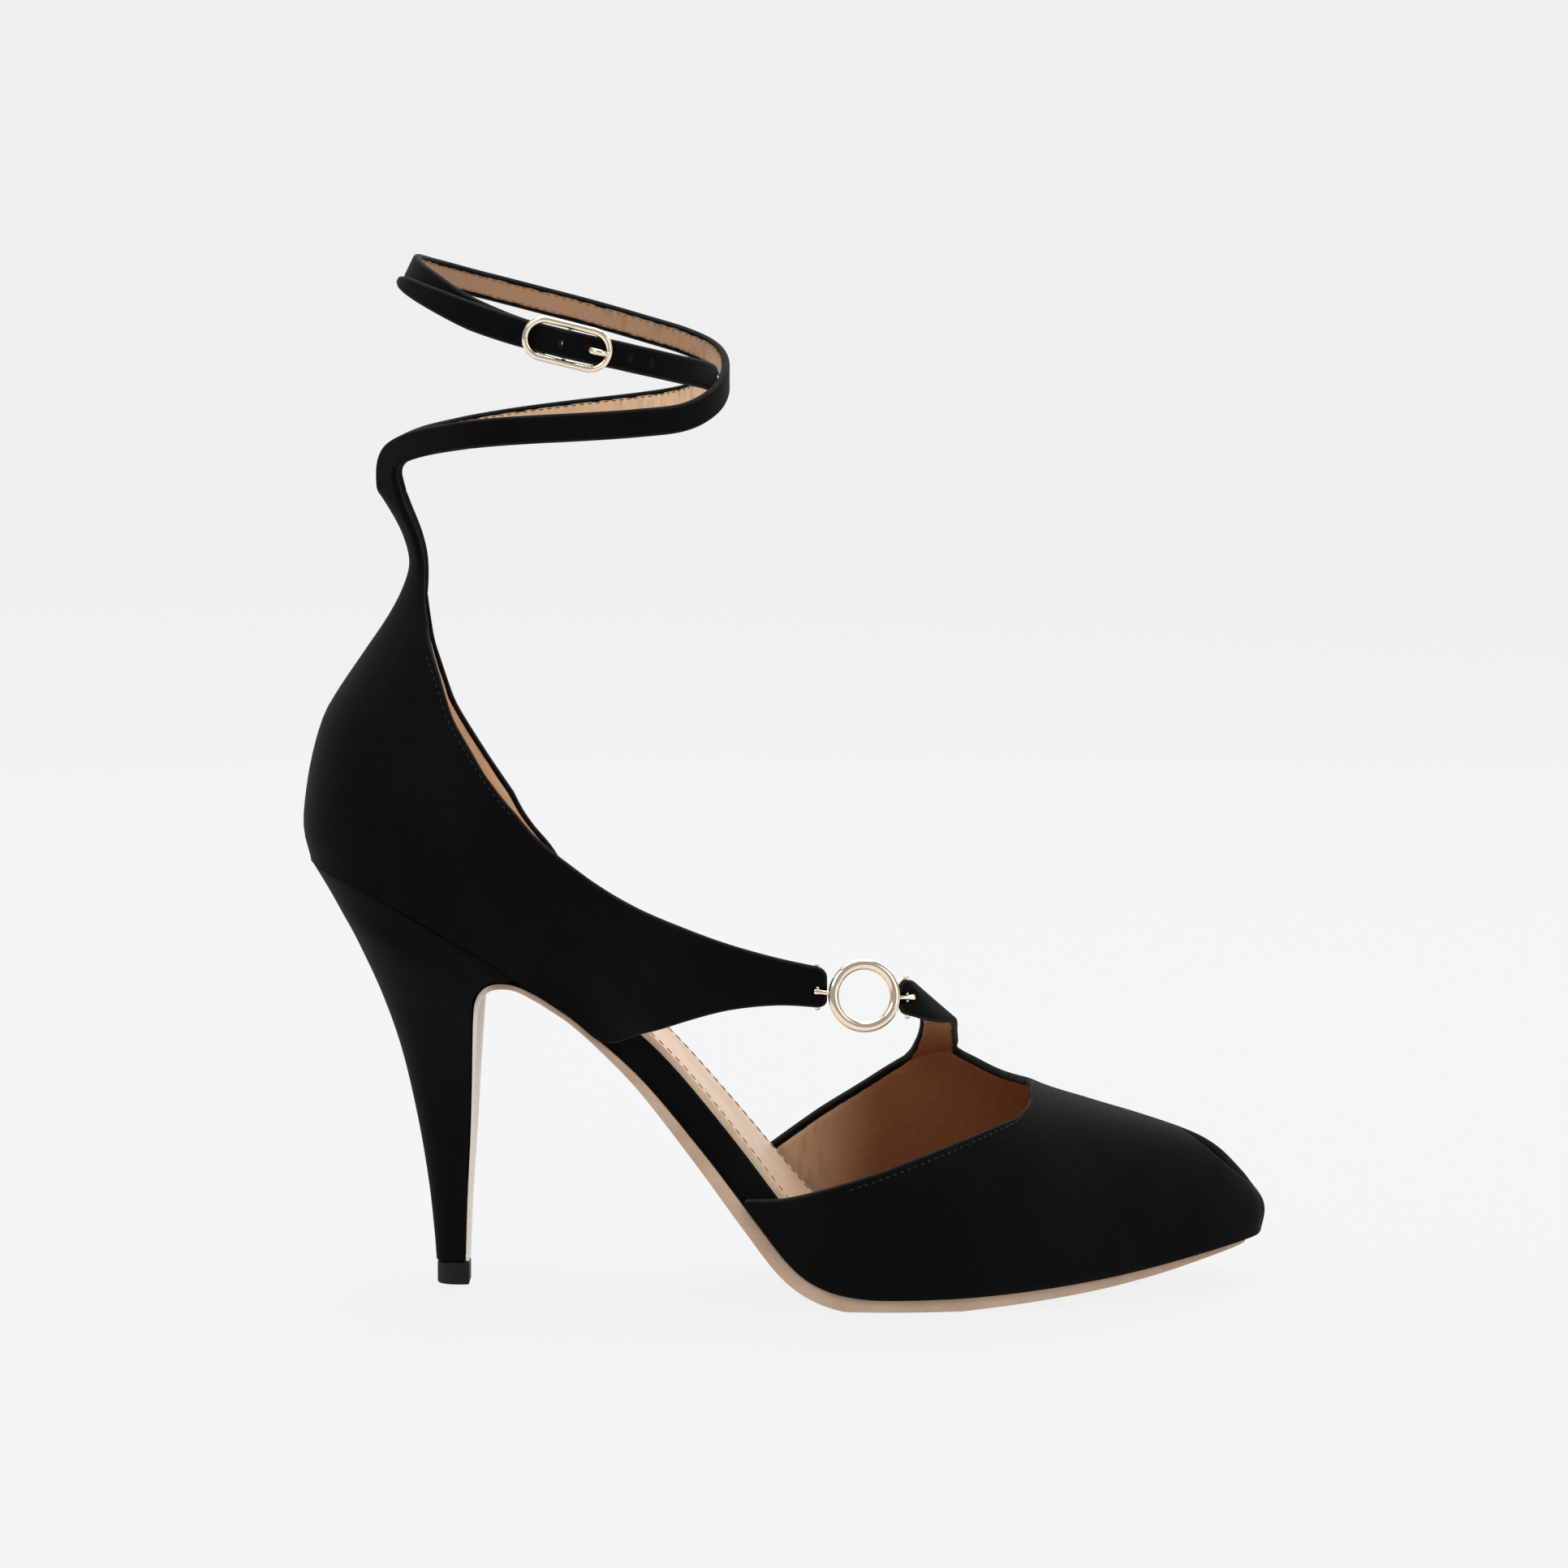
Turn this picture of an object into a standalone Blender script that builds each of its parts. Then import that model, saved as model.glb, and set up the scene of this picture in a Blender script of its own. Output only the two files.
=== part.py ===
"""Right-foot high-heeled pump: hollow upper, wrapped platform, slim heel, crossed ankle strap."""
import math

import bmesh
import bpy
import mathutils
import numpy as np

# Units: sizes and tables are in millimetres, meshes in metres
MM = 0.001

# Points closer than this are one point, in metres
MERGE = 0.00002

# Edges sharper than this stay sharp when shaded, in degrees
SHARP = 40.0

# Leather and board thicknesses
WALL = 1.8
STRAP = 1.7
GAP = 0.3
SEAT_GAP = 0.4
INSOLE = 1.4
OUTSOLE_INSET = 1.2
OUTSOLE_TOE_INSET = 3.6
OUTSOLE_TOE_ROWS = 4.0
PLATFORM_INSET = 2.4
INSOLE_INSET = 2.9

# Heel tip
TOP_PIECE_HEIGHT = 4.9
TOP_PIECE_HALF = 4.0
TOP_PIECE_BACK = -75.5
TOP_PIECE_FRONT = -68.4
TOP_PIECE_ROUND = 0.6
HEEL_ROUND = 0.66
HEEL_INSET = 0.5

# Instep ring
RING_CENTRE = (17.1, -22.4, 65.9)
RING_RADIUS = 6.7
RING_TUBE = 1.05
PIN_RADIUS = 0.8
PIN_REACH = 8.8
RING_ALONG = (15.6, 3.0, -1.4)
RING_UP = (0.0, 0.2, 0.98)
SLANT = 0.7

# Ankle buckle
BUCKLE_CENTRE = (-45.3, -32.0, 204.3)
BUCKLE_HALF_LENGTH = 8.9
BUCKLE_HALF_HEIGHT = 4.0
BUCKLE_TUBE = 0.8
BUCKLE_SLOPE = 13.8
BAR_RADIUS = 0.55
BAR_DROP = 1.2
PRONG_RADIUS = 0.5
PRONG_RUN = (2.2, 9.6)
PRONG_LIFT = (2.2, 1.75)

# Ankle strap
ANKLE_X = -48.0
STRAP_WIDTH = 6.0
STRAP_BASE_WIDER = 0.32
STRAP_BASE_STEPS = 7
STRAP_BASE_TURN = 8.0
STRAP_TIP = 0.3
STRAP_TIP_STEPS = 9

# Section roundness of the forefoot
SECTION_POWER = 2.25
SECTION_BULGE = 0.05
TOE_BULGE = 2.85
TOE_BULGE_REACH = 12.0

# Open toe
TOE_OPENING_HALF_LATERAL = 5.0
TOE_OPENING_HALF_MEDIAL = 2.8
TOE_OPENING_BACK = 86.5
TOE_OPENING_FRONT = 102.0
TOE_OPENING_POWER = 0.8
THROAT_X = 54.0

# Back of the quarter
BACK_LENGTH_LOW = 26.0
BACK_LENGTH_HIGH = 20.0
BACK_LENGTH_FROM = 105.0
BACK_LENGTH_OVER = 50.0
SEAT_WIDEST_X = -76.0
SEAT_NARROWEST_X = -38.0
BACK_SEAT_Z = 92.0
FLARE_HEIGHT = 18.0

# Steps for taking slopes along the sole
SLOPE_STEP = 0.8
SLOPE_FROM = -100.0
SLOPE_TO = 102.0
ROW_STEP = 0.05

# Sole edge, heel to toe: x, height of the upper's lower edge, lateral reach, medial reach
SOLE = (
    (-102.2, 92.8, 0.0, 0.0),
    (-101.4, 92.6, 6.2, 6.2),
    (-98.6, 91.7, 12.8, 12.6),
    (-93.0, 89.7, 19.3, 18.9),
    (-85.0, 86.0, 23.8, 23.2),
    (-76.0, 80.9, 25.4, 24.8),
    (-66.0, 75.1, 24.6, 24.0),
    (-56.3, 68.4, 23.2, 22.0),
    (-46.0, 61.4, 22.0, 20.0),
    (-38.0, 54.8, 21.4, 18.8),
    (-28.8, 46.0, 22.0, 18.4),
    (-16.6, 31.7, 25.6, 20.6),
    (-6.2, 18.6, 30.0, 24.4),
    (1.5, 9.3, 33.2, 28.2),
    (8.0, 5.0, 35.2, 31.2),
    (16.0, 3.1, 36.6, 34.0),
    (26.0, 2.8, 36.8, 36.0),
    (40.0, 3.1, 35.0, 36.6),
    (54.0, 4.0, 31.2, 34.8),
    (68.0, 5.3, 25.4, 31.0),
    (80.0, 6.8, 18.6, 26.0),
    (90.5, 8.4, 11.6, 20.4),
    (98.6, 9.6, 4.8, 14.4),
    (102.9, 10.2, -0.4, 9.8),
    (104.3, 10.4, -5.0, 5.0),
)

# Outsole thickness along the shoe: x, thickness
OUTSOLE = (
    (-60.0, 0.9),
    (-46.0, 1.0),
    (-28.8, 2.0),
    (-16.6, 2.6),
    (-6.2, 2.9),
    (1.5, 3.0),
    (8.0, 3.1),
    (16.0, 3.2),
    (26.0, 3.1),
    (33.0, 3.1),
    (40.0, 2.6),
    (54.0, 2.3),
    (66.0, 2.1),
    (80.0, 1.7),
    (92.0, 1.3),
    (99.0, 1.1),
    (105.0, 0.9),
)

# Sole leather turned down the front of the heel: outer x, outer z, inner x, inner z, half width
FLAP = (
    (-52.0, 63.9, -51.6, 65.0, 21.4),
    (-57.0, 66.5, -57.2, 67.6, 21.2),
    (-60.6, 67.0, -61.1, 68.1, 21.0),
    (-63.2, 66.2, -64.0, 67.1, 20.6),
    (-65.1, 63.6, -65.9, 64.2, 19.6),
    (-65.7, 59.0, -66.5, 59.0, 17.6),
    (-66.4, 46.0, -67.1, 46.0, 12.0),
    (-67.0, 33.3, -67.7, 33.3, 8.2),
    (-67.9, 18.6, -68.6, 18.6, 5.2),
    (-68.4, 5.3, -69.1, 5.3, 3.7),
)

# Heel, tip to seat: back z, back x, front z, front x, half width
HEEL = (
    (5.2, -75.7, 5.2, -69.5, 3.9),
    (12.0, -76.2, 12.0, -69.3, 4.6),
    (23.1, -77.4, 22.5, -68.8, 6.0),
    (36.5, -79.6, 34.5, -68.1, 8.1),
    (51.6, -83.0, 46.0, -67.5, 11.6),
    (64.1, -87.3, 54.5, -67.1, 15.2),
    (75.6, -92.5, 61.5, -66.8, 19.2),
    (81.4, -95.6, 65.0, -66.3, 21.2),
    (86.8, -98.6, 68.4, -63.0, 22.9),
    (92.3, -101.9, 68.9, -57.6, 25.0),
)

# Platform thickness along the shoe: x, thickness
PLATFORM = (
    (-104.0, 3.6),
    (-70.0, 4.2),
    (-45.0, 5.8),
    (-28.0, 6.3),
    (30.0, 6.2),
    (80.0, 5.6),
    (106.0, 5.0),
)

# Instep line over the forefoot, one row for each of the last rows of SOLE: x, y, z
RIDGE = (
    (-14.0, 3.0, 100.0),
    (-4.0, 3.5, 92.0),
    (3.5, 4.0, 86.5),
    (9.5, 4.2, 82.0),
    (17.0, 4.5, 76.0),
    (26.5, 4.5, 63.5),
    (40.0, 4.5, 51.8),
    (54.2, 4.2, 43.6),
    (66.8, 4.2, 39.4),
    (77.6, 4.4, 36.2),
    (87.4, 4.6, 32.9),
    (94.8, 4.8, 29.4),
    (99.8, 5.0, 24.4),
    (102.2, 5.0, 21.2),
)

# Top edge of the vamp on each side: x, z
VAMP_TOP_LATERAL = (
    (-8.4, 23.0),
    (-6.2, 23.2),
    (0.7, 24.2),
    (16.1, 28.9),
    (31.7, 34.2),
    (43.9, 38.0),
    (49.5, 39.6),
    (52.6, 41.6),
    (54.0, 43.6),
)
VAMP_TOP_MEDIAL = (
    (-8.4, 23.0),
    (-3.8, 26.6),
    (6.2, 33.3),
    (17.0, 39.6),
    (26.8, 46.0),
    (32.5, 48.6),
    (38.4, 48.6),
    (46.9, 44.6),
    (51.0, 43.6),
    (54.0, 43.6),
)
TAB_BACK = 26.8
TAB_FRONT = 38.4

# Instep strap above the medial vamp: back edge x, y, z, then front edge x, y, z
INSTEP = (
    (28.4, 22.5, 49.2, 38.4, 18.5, 50.4),
    (29.6, 17.5, 52.6, 38.4, 14.0, 52.0),
    (30.2, 11.5, 56.2, 38.3, 9.0, 53.6),
    (30.0, 4.5, 59.8, 38.1, 4.0, 55.2),
    (29.4, -3.0, 63.2, 38.0, -1.0, 56.7),
    (28.4, -10.5, 66.4, 37.8, -5.4, 58.0),
    (27.3, -16.0, 68.6, 37.3, -9.4, 58.9),
    (26.9, -17.8, 69.0, 34.2, -15.0, 59.4),
    (26.6, -18.9, 69.1, 30.4, -18.7, 60.3),
    (26.2, -19.7, 69.1, 26.4, -20.6, 61.5),
)

# Back line of the quarter and stem: z, x
BACK = (
    (60.0, -102.2),
    (86.0, -102.2),
    (92.8, -102.3),
    (97.7, -103.5),
    (103.0, -103.8),
    (113.6, -102.3),
    (123.3, -99.6),
    (129.4, -96.3),
    (138.2, -90.3),
    (145.7, -85.2),
    (152.2, -81.9),
    (157.5, -80.7),
    (163.6, -82.3),
    (168.0, -84.8),
    (172.3, -87.0),
    (178.4, -89.6),
)

# Narrowing of the quarter towards the ankle: z, factor
NARROW = (
    (60.0, 1.0),
    (104.0, 1.0),
    (115.0, 0.97),
    (127.0, 0.88),
    (138.0, 0.76),
    (148.0, 0.66),
    (157.0, 0.6),
    (166.0, 0.58),
    (178.0, 0.56),
)

# Outward flare of the quarter above the sole: x, flare
FLARE = (
    (-104.0, 1.2),
    (-80.0, 1.6),
    (-60.0, 3.0),
    (-45.0, 5.6),
    (-33.0, 7.2),
    (-20.0, 6.6),
    (-8.0, 4.8),
    (8.0, 2.2),
)

# Quarter ribs: lower x, lower z, upper x, upper z
QUARTER_LATERAL = (
    (8.0, 63.2, 8.0, 72.1),
    (-1.0, 64.0, -1.0, 74.2),
    (-11.4, 63.2, -11.3, 77.3),
    (-21.0, 60.9, -21.5, 81.2),
    (-30.0, 57.9, -31.5, 85.6),
    (-38.0, 55.4, -41.0, 91.2),
    (-46.0, 61.4, -49.5, 97.6),
    (-54.0, 66.8, -56.5, 105.0),
    (-63.0, 73.2, -62.5, 112.6),
    (-72.0, 78.7, -67.8, 121.4),
    (-80.0, 83.4, -72.4, 132.6),
    (-87.4, 87.2, -75.6, 142.0),
    (-92.2, 89.4, -77.4, 150.0),
)
QUARTER_MEDIAL = (
    (-30.6, 58.2, -29.6, 59.6),
    (-34.5, 56.6, -34.2, 66.0),
    (-38.0, 55.4, -40.5, 76.6),
    (-46.0, 61.4, -47.6, 87.0),
    (-54.0, 66.8, -54.4, 96.6),
    (-63.0, 73.2, -61.6, 108.0),
    (-72.0, 78.7, -69.0, 119.6),
    (-80.0, 83.4, -74.0, 130.5),
    (-87.4, 87.2, -77.0, 141.0),
    (-92.2, 89.4, -78.2, 150.0),
)

# Front edges of the stem above the ribs: z, lateral x, medial x
STEM = (
    (150.0, -77.4, -78.2),
    (154.0, -77.7, -78.0),
    (158.0, -78.1, -78.2),
    (161.5, -78.9, -78.9),
    (165.0, -80.1, -80.1),
    (168.0, -81.5, -81.5),
    (171.4, -83.0, -83.0),
)

# Ankle strap from the outer side of the stem: angle, reach along x, reach along y, z, lean
STRAP_LATERAL = (
    (172.0, 36.9, 28.7, 172.7, 0.0),
    (171.4, 37.6, 29.2, 176.4, 0.0),
    (166.2, 36.9, 28.9, 180.4, 0.0),
    (152.0, 35.0, 28.9, 182.7, 0.0),
    (138.0, 34.2, 29.3, 184.0, 0.0),
    (118.0, 34.2, 29.3, 185.5, 0.0),
    (99.0, 34.8, 29.5, 186.4, 0.0),
    (80.0, 35.0, 29.5, 187.0, 0.0),
    (60.0, 35.2, 29.0, 187.7, 0.0),
    (40.0, 35.4, 28.5, 188.8, 0.0),
    (20.0, 35.5, 28.0, 192.2, 0.0),
    (0.0, 35.5, 28.0, 196.8, 0.0),
    (-20.0, 35.5, 28.0, 200.9, 0.0),
    (-40.0, 35.2, 28.5, 204.0, 0.0),
    (-60.0, 35.0, 29.0, 206.8, 4.0),
    (-90.0, 34.5, 29.5, 211.6, 10.0),
    (-120.0, 33.6, 29.0, 216.0, 18.0),
    (-150.0, 32.4, 28.0, 219.2, 24.0),
    (-180.0, 31.6, 27.5, 220.2, 26.0),
    (-210.0, 32.0, 27.2, 217.0, 22.0),
    (-235.0, 33.2, 27.2, 211.6, 12.0),
    (-255.0, 34.0, 27.5, 207.3, 4.0),
    (-268.0, 34.0, 27.7, 204.9, 0.0),
)

# Ankle strap from the inner side of the stem to the tail: angle, reach along x, reach along y, z, lean
STRAP_MEDIAL = (
    (-172.0, 36.9, 28.7, 172.7, 0.0),
    (-171.4, 37.6, 29.2, 176.4, 0.0),
    (-166.2, 36.9, 28.9, 180.4, 0.0),
    (-152.0, 35.0, 28.9, 182.7, 0.0),
    (-138.0, 34.2, 29.3, 184.0, 0.0),
    (-118.0, 34.2, 29.3, 185.7, 0.0),
    (-99.0, 34.8, 29.5, 187.2, 0.0),
    (-80.0, 35.0, 29.5, 188.6, 0.0),
    (-60.0, 34.5, 28.8, 190.0, 0.0),
    (-40.0, 33.7, 27.2, 191.6, 0.0),
    (-20.0, 33.1, 25.8, 193.8, 0.0),
    (0.0, 32.9, 25.5, 196.0, 0.0),
    (20.0, 33.1, 25.8, 197.4, 0.0),
    (40.0, 33.8, 27.4, 198.8, 0.0),
    (58.0, 34.6, 29.4, 200.7, 0.0),
    (69.0, 35.0, 30.0, 202.1, 0.0),
    (76.5, 35.0, 30.7, 203.0, 0.0),
    (85.6, 35.4, 32.5, 204.3, 0.0),
    (95.0, 35.8, 30.4, 205.7, 0.0),
    (104.0, 36.0, 29.8, 207.2, 2.0),
    (118.0, 36.0, 30.4, 209.9, 8.0),
    (136.0, 35.8, 30.8, 213.6, 16.0),
    (153.0, 35.6, 31.2, 216.4, 22.0),
    (166.0, 34.7, 31.2, 217.4, 25.0),
)

# Finishes: red, green, blue, roughness, metallic
FINISHES = {
    "black_suede": (0.009, 0.009, 0.010, 0.92, 0.0),
    "tan_leather": (0.47, 0.27, 0.15, 0.55, 0.0),
    "sole_leather": (0.55, 0.33, 0.20, 0.45, 0.0),
    "black_rubber": (0.012, 0.012, 0.012, 0.6, 0.0),
    "pale_gold": (0.86, 0.68, 0.42, 0.22, 1.0),
}


# Curves


def spline(rows, t):
    """Catmull-Rom value of a table at row position t."""
    table = np.asarray(rows, dtype=float)
    last = len(table) - 1
    i = min(max(int(math.floor(t)), 0), last - 1)
    f = t - i
    b = table[i]
    c = table[i + 1]
    a = table[i - 1] if i > 0 else 2.0 * b - c
    d = table[i + 2] if i + 2 <= last else 2.0 * c - b
    square = f * f
    return 0.5 * (2.0 * b + (c - a) * f + (2.0 * a - 5.0 * b + 4.0 * c - d) * square
                  + (3.0 * b - a - 3.0 * c + d) * square * f)


def dense(rows, steps=16):
    """A table sampled finely along its spline."""
    count = (len(rows) - 1) * steps
    return np.array([spline(rows, k / steps) for k in range(count + 1)])


def lookup(samples, x):
    """Second column of sampled rows at a value of the first."""
    return float(np.interp(x, samples[:, 0], samples[:, 1]))


SOLE_FINE = dense(SOLE)
OUTSOLE_FINE = dense(OUTSOLE)
PLATFORM_FINE = dense(PLATFORM)
BACK_FINE = dense(BACK)
NARROW_FINE = dense(NARROW)
FLARE_FINE = dense(FLARE)
TOP_LATERAL_FINE = dense(VAMP_TOP_LATERAL)
TOP_MEDIAL_FINE = dense(VAMP_TOP_MEDIAL)


def sole_height(x):
    """Height of the upper's lower edge."""
    return lookup(SOLE_FINE, x)


def sole_slope(x):
    """Slope of that edge along the shoe."""
    return (sole_height(x + SLOPE_STEP) - sole_height(x - SLOPE_STEP)) / (2.0 * SLOPE_STEP)


def off_sole(x, distance):
    """Point at a distance square to the sole line, upwards if positive."""
    slope = sole_slope(min(max(x, SLOPE_FROM), SLOPE_TO))
    length = math.hypot(slope, 1.0)
    return x - slope * distance / length, sole_height(x) + distance / length


def edge(t, side, inset):
    """Plan point of the sole edge at a row position, moved inwards; side -1 lateral, 1 medial."""
    column = 2 if side < 0 else 3
    here = spline(SOLE, t)
    if t <= 0.0:
        return here[0] + inset, side * here[column]
    if t >= len(SOLE) - 1:
        return here[0] - inset, side * here[column]
    before = spline(SOLE, max(t - ROW_STEP, 0.0))
    after = spline(SOLE, min(t + ROW_STEP, len(SOLE) - 1))
    dx = after[0] - before[0]
    dy = side * (after[column] - before[column])
    length = math.hypot(dx, dy)
    inward = (side * dy / length, -side * dx / length)
    return here[0] + inset * inward[0], side * here[column] + inset * inward[1]


# Meshes


def finish(name):
    """A plain material of one finish."""
    red, green, blue, rough, metal = FINISHES[name]
    material = bpy.data.materials.get(name)
    if material is None:
        material = bpy.data.materials.new(name)
        material.use_nodes = True
        shader = material.node_tree.nodes["Principled BSDF"]
        shader.inputs["Base Color"].default_value = (red, green, blue, 1.0)
        shader.inputs["Roughness"].default_value = rough
        shader.inputs["Metallic"].default_value = metal
    return material


def corner(mesh, point):
    """A vertex at a point given in millimetres."""
    return mesh.verts.new((point[0] * MM, point[1] * MM, point[2] * MM))


def smooth(data):
    """Smooth shading with sharp corners kept."""
    data.shade_smooth()
    data.set_sharp_from_angle(angle=math.radians(SHARP))


def place(mesh, name, finish_name):
    """A finished object from a closed bmesh."""
    bmesh.ops.remove_doubles(mesh, verts=mesh.verts, dist=MERGE / 5.0)
    bmesh.ops.dissolve_degenerate(mesh, edges=mesh.edges, dist=MERGE / 5.0)
    bmesh.ops.triangulate(mesh, faces=mesh.faces)
    bmesh.ops.recalc_face_normals(mesh, faces=mesh.faces)
    data = bpy.data.meshes.new(name)
    mesh.to_mesh(data)
    mesh.free()
    data.materials.append(finish(finish_name))
    smooth(data)
    thing = bpy.data.objects.new(name, data)
    bpy.context.scene.collection.objects.link(thing)
    return thing


def grid_faces(mesh, grid):
    """Quads over a grid of vertices."""
    for row, above in zip(grid, grid[1:]):
        for a, b, c, d in zip(row, row[1:], above[1:], above):
            corners = list(dict.fromkeys((a, b, c, d)))
            if len(corners) > 2:
                mesh.faces.new(corners)


def slab(name, finish_name, under, over):
    """A closed sheet between two matching grids of points."""
    mesh = bmesh.new()
    low = [[corner(mesh, p) for p in row] for row in under]
    high = [[corner(mesh, p) for p in row] for row in over]
    grid_faces(mesh, low)
    grid_faces(mesh, high)
    grid_faces(mesh, [low[0], high[0]])
    grid_faces(mesh, [low[-1], high[-1]])
    grid_faces(mesh, [[row[0] for row in low], [row[0] for row in high]])
    grid_faces(mesh, [[row[-1] for row in low], [row[-1] for row in high]])
    return place(mesh, name, finish_name)


def shell(name, finish_name, patches, inside, thickness):
    """A wall of even thickness under patches of points, which join where they meet."""
    mesh = bmesh.new()
    for patch in patches:
        grid_faces(mesh, [[corner(mesh, p) for p in row] for row in patch])
    bmesh.ops.remove_doubles(mesh, verts=mesh.verts, dist=MERGE)
    bmesh.ops.dissolve_degenerate(mesh, edges=mesh.edges, dist=MERGE / 2.0)
    bmesh.ops.recalc_face_normals(mesh, faces=mesh.faces)
    facing = 0.0
    for face in mesh.faces:
        middle = face.calc_center_median() / MM
        facing += face.normal.dot(middle - mathutils.Vector(inside(middle)))
    if facing < 0.0:
        bmesh.ops.reverse_faces(mesh, faces=mesh.faces)
    mesh.normal_update()
    outer = list(mesh.faces)
    rim = [e for e in mesh.edges if e.is_boundary]
    twin = {v: mesh.verts.new(v.co - v.normal * thickness * MM) for v in list(mesh.verts)}
    for face in outer:
        mesh.faces.new([twin[v] for v in reversed(face.verts)])
    for side in rim:
        a, b = side.verts
        mesh.faces.new((a, b, twin[b], twin[a]))
    return place(mesh, name, finish_name)


def tube(mesh, centres, normals, radius, sides, closed):
    """A round bar through points, each with a direction square to the path."""
    rings = []
    count = len(centres)
    for i, (centre, normal) in enumerate(zip(centres, normals)):
        ahead = centres[(i + 1) % count] if closed else centres[min(i + 1, count - 1)]
        behind = centres[i - 1] if closed else centres[max(i - 1, 0)]
        along = (ahead - behind) / np.linalg.norm(ahead - behind)
        across = np.cross(along, normal)
        ring = []
        for k in range(sides):
            turn = 2.0 * math.pi * k / sides
            ring.append(corner(mesh, centre + radius * (math.cos(turn) * normal + math.sin(turn) * across)))
        rings.append(ring)
    pairs = list(zip(rings, rings[1:]))
    if closed:
        pairs.append((rings[-1], rings[0]))
    for ring, following in pairs:
        for k in range(sides):
            j = (k + 1) % sides
            mesh.faces.new((ring[k], ring[j], following[j], following[k]))
    if not closed:
        mesh.faces.new(list(reversed(rings[0])))
        mesh.faces.new(rings[-1])


def join(name, finish_name, first, others):
    """One body from bars that meet."""
    thing = place(first, name, finish_name)
    for index, extra in enumerate(others):
        cutter = place(extra, name + "_bar_" + str(index), finish_name)
        cutter.hide_render = True
        cutter.display_type = "WIRE"
        union = thing.modifiers.new("union", "BOOLEAN")
        union.operation = "UNION"
        union.solver = "EXACT"
        union.object = cutter
        graph = bpy.context.evaluated_depsgraph_get()
        joined = bpy.data.meshes.new_from_object(thing.evaluated_get(graph))
        thing.modifiers.clear()
        thing.data = joined
        bpy.data.objects.remove(cutter, do_unlink=True)
    smooth(thing.data)
    return thing


# Sole pieces


def sole_rows(first, last, steps, inset):
    """Lateral and medial plan points of the sole edge, row by row."""
    rows = []
    for k in range(steps + 1):
        t = first + (last - first) * k / steps
        rows.append((edge(t, -1.0, inset(t)), edge(t, 1.0, inset(t))))
    return rows


def outsole_inset(t):
    """Distance of the outsole's edge from the sole line, larger at the toe."""
    share = min(max((t - (len(SOLE) - 1.0 - OUTSOLE_TOE_ROWS)) / OUTSOLE_TOE_ROWS, 0.0), 1.0)
    return OUTSOLE_INSET + (OUTSOLE_TOE_INSET - OUTSOLE_INSET) * share


def across(left, right, columns, level):
    """Points across the shoe between two plan points, at a level above the sole line."""
    points = []
    for k in range(columns + 1):
        f = k / columns
        x = left[0] + (right[0] - left[0]) * f
        y = left[1] + (right[1] - left[1]) * f
        px, pz = off_sole(x, level(x))
        points.append((px, y, pz))
    return points


def outsole():
    """Sole leather from the toe to the waist and down the front of the heel."""
    rows = sole_rows(8.0, len(SOLE) - 1.0, 44, outsole_inset)
    over = [across(a, b, 4, lambda x: -GAP) for a, b in rows]
    under = [across(a, b, 4, lambda x: -GAP - lookup(OUTSOLE_FINE, x)) for a, b in rows]
    under = [[(x, y, max(z, 0.0)) for x, y, z in row] for row in under]
    flap_over = []
    flap_under = []
    for k in range(len(FLAP) * 2 - 1):
        ox, oz, ix, iz, half = spline(FLAP, (len(FLAP) - 1) - k / 2.0)
        flap_over.append([(ix, half * (c / 2.0 - 1.0), iz) for c in range(5)])
        flap_under.append([(ox, half * (c / 2.0 - 1.0), oz) for c in range(5)])
    slab("outsole", "sole_leather", flap_under + under, flap_over + over)


def platform():
    """Suede-covered board between the outsole and the insole."""
    rows = sole_rows(0.0, len(SOLE) - 1.0, 46, lambda t: PLATFORM_INSET)
    under = [across(a, b, 3, lambda x: 0.0) for a, b in rows]
    over = [across(a, b, 3, lambda x: lookup(PLATFORM_FINE, x)) for a, b in rows]
    slab("platform", "black_suede", under, over)


def insole():
    """Leather sock on the platform."""
    rows = sole_rows(0.0, len(SOLE) - 1.0, 46, lambda t: INSOLE_INSET)
    under = [across(a, b, 3, lambda x: lookup(PLATFORM_FINE, x) + GAP) for a, b in rows]
    over = [across(a, b, 3, lambda x: lookup(PLATFORM_FINE, x) + GAP + INSOLE) for a, b in rows]
    slab("insole", "tan_leather", under, over)


# Heel


def around(p):
    """Share of the back's length and width at a turn around it."""
    turn = abs(p)
    if turn <= 1.0:
        return 1.0 - math.cos(turn * math.pi / 2.0), math.sin(turn * math.pi / 2.0)
    return 1.0 + (turn - 1.0) * math.pi / 2.0, 1.0


def turn_for(share):
    """Turn around the back that gives a share of its length."""
    if share <= 1.0:
        return math.acos(max(min(1.0 - share, 1.0), -1.0)) * 2.0 / math.pi
    return 1.0 + (share - 1.0) * 2.0 / math.pi


def heel_ring(level, columns):
    """Outline of the heel at a level, from the outer front corner round the back to the inner one."""
    back_z, back_x, front_z, front_x, half = spline(HEEL, level)
    depth = front_x - back_x
    length = depth * HEEL_ROUND
    reach = turn_for(depth / length)
    seat = (level / (len(HEEL) - 1)) ** 3
    top_z, top_x, foot_z, foot_x, _ = HEEL[-1]
    ring = []
    for k in range(columns + 1):
        p = reach * (1.0 - 2.0 * k / columns)
        along, side = around(p)
        x = back_x + length * along
        column = 2 if p > 0.0 else 3
        reach_y = float(np.interp(x, SOLE_FINE[:, 0], SOLE_FINE[:, column])) - HEEL_INSET
        y = min(half * side, max(reach_y, 0.0)) * (-1.0 if p > 0.0 else 1.0)
        f = (x - back_x) / depth
        z = back_z + (front_z - back_z) * f
        level_seat = sole_height(top_x + (foot_x - top_x) * f) - SEAT_GAP
        z += seat * (level_seat - top_z - (foot_z - top_z) * f)
        ring.append((x, y, z))
    return ring


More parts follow.
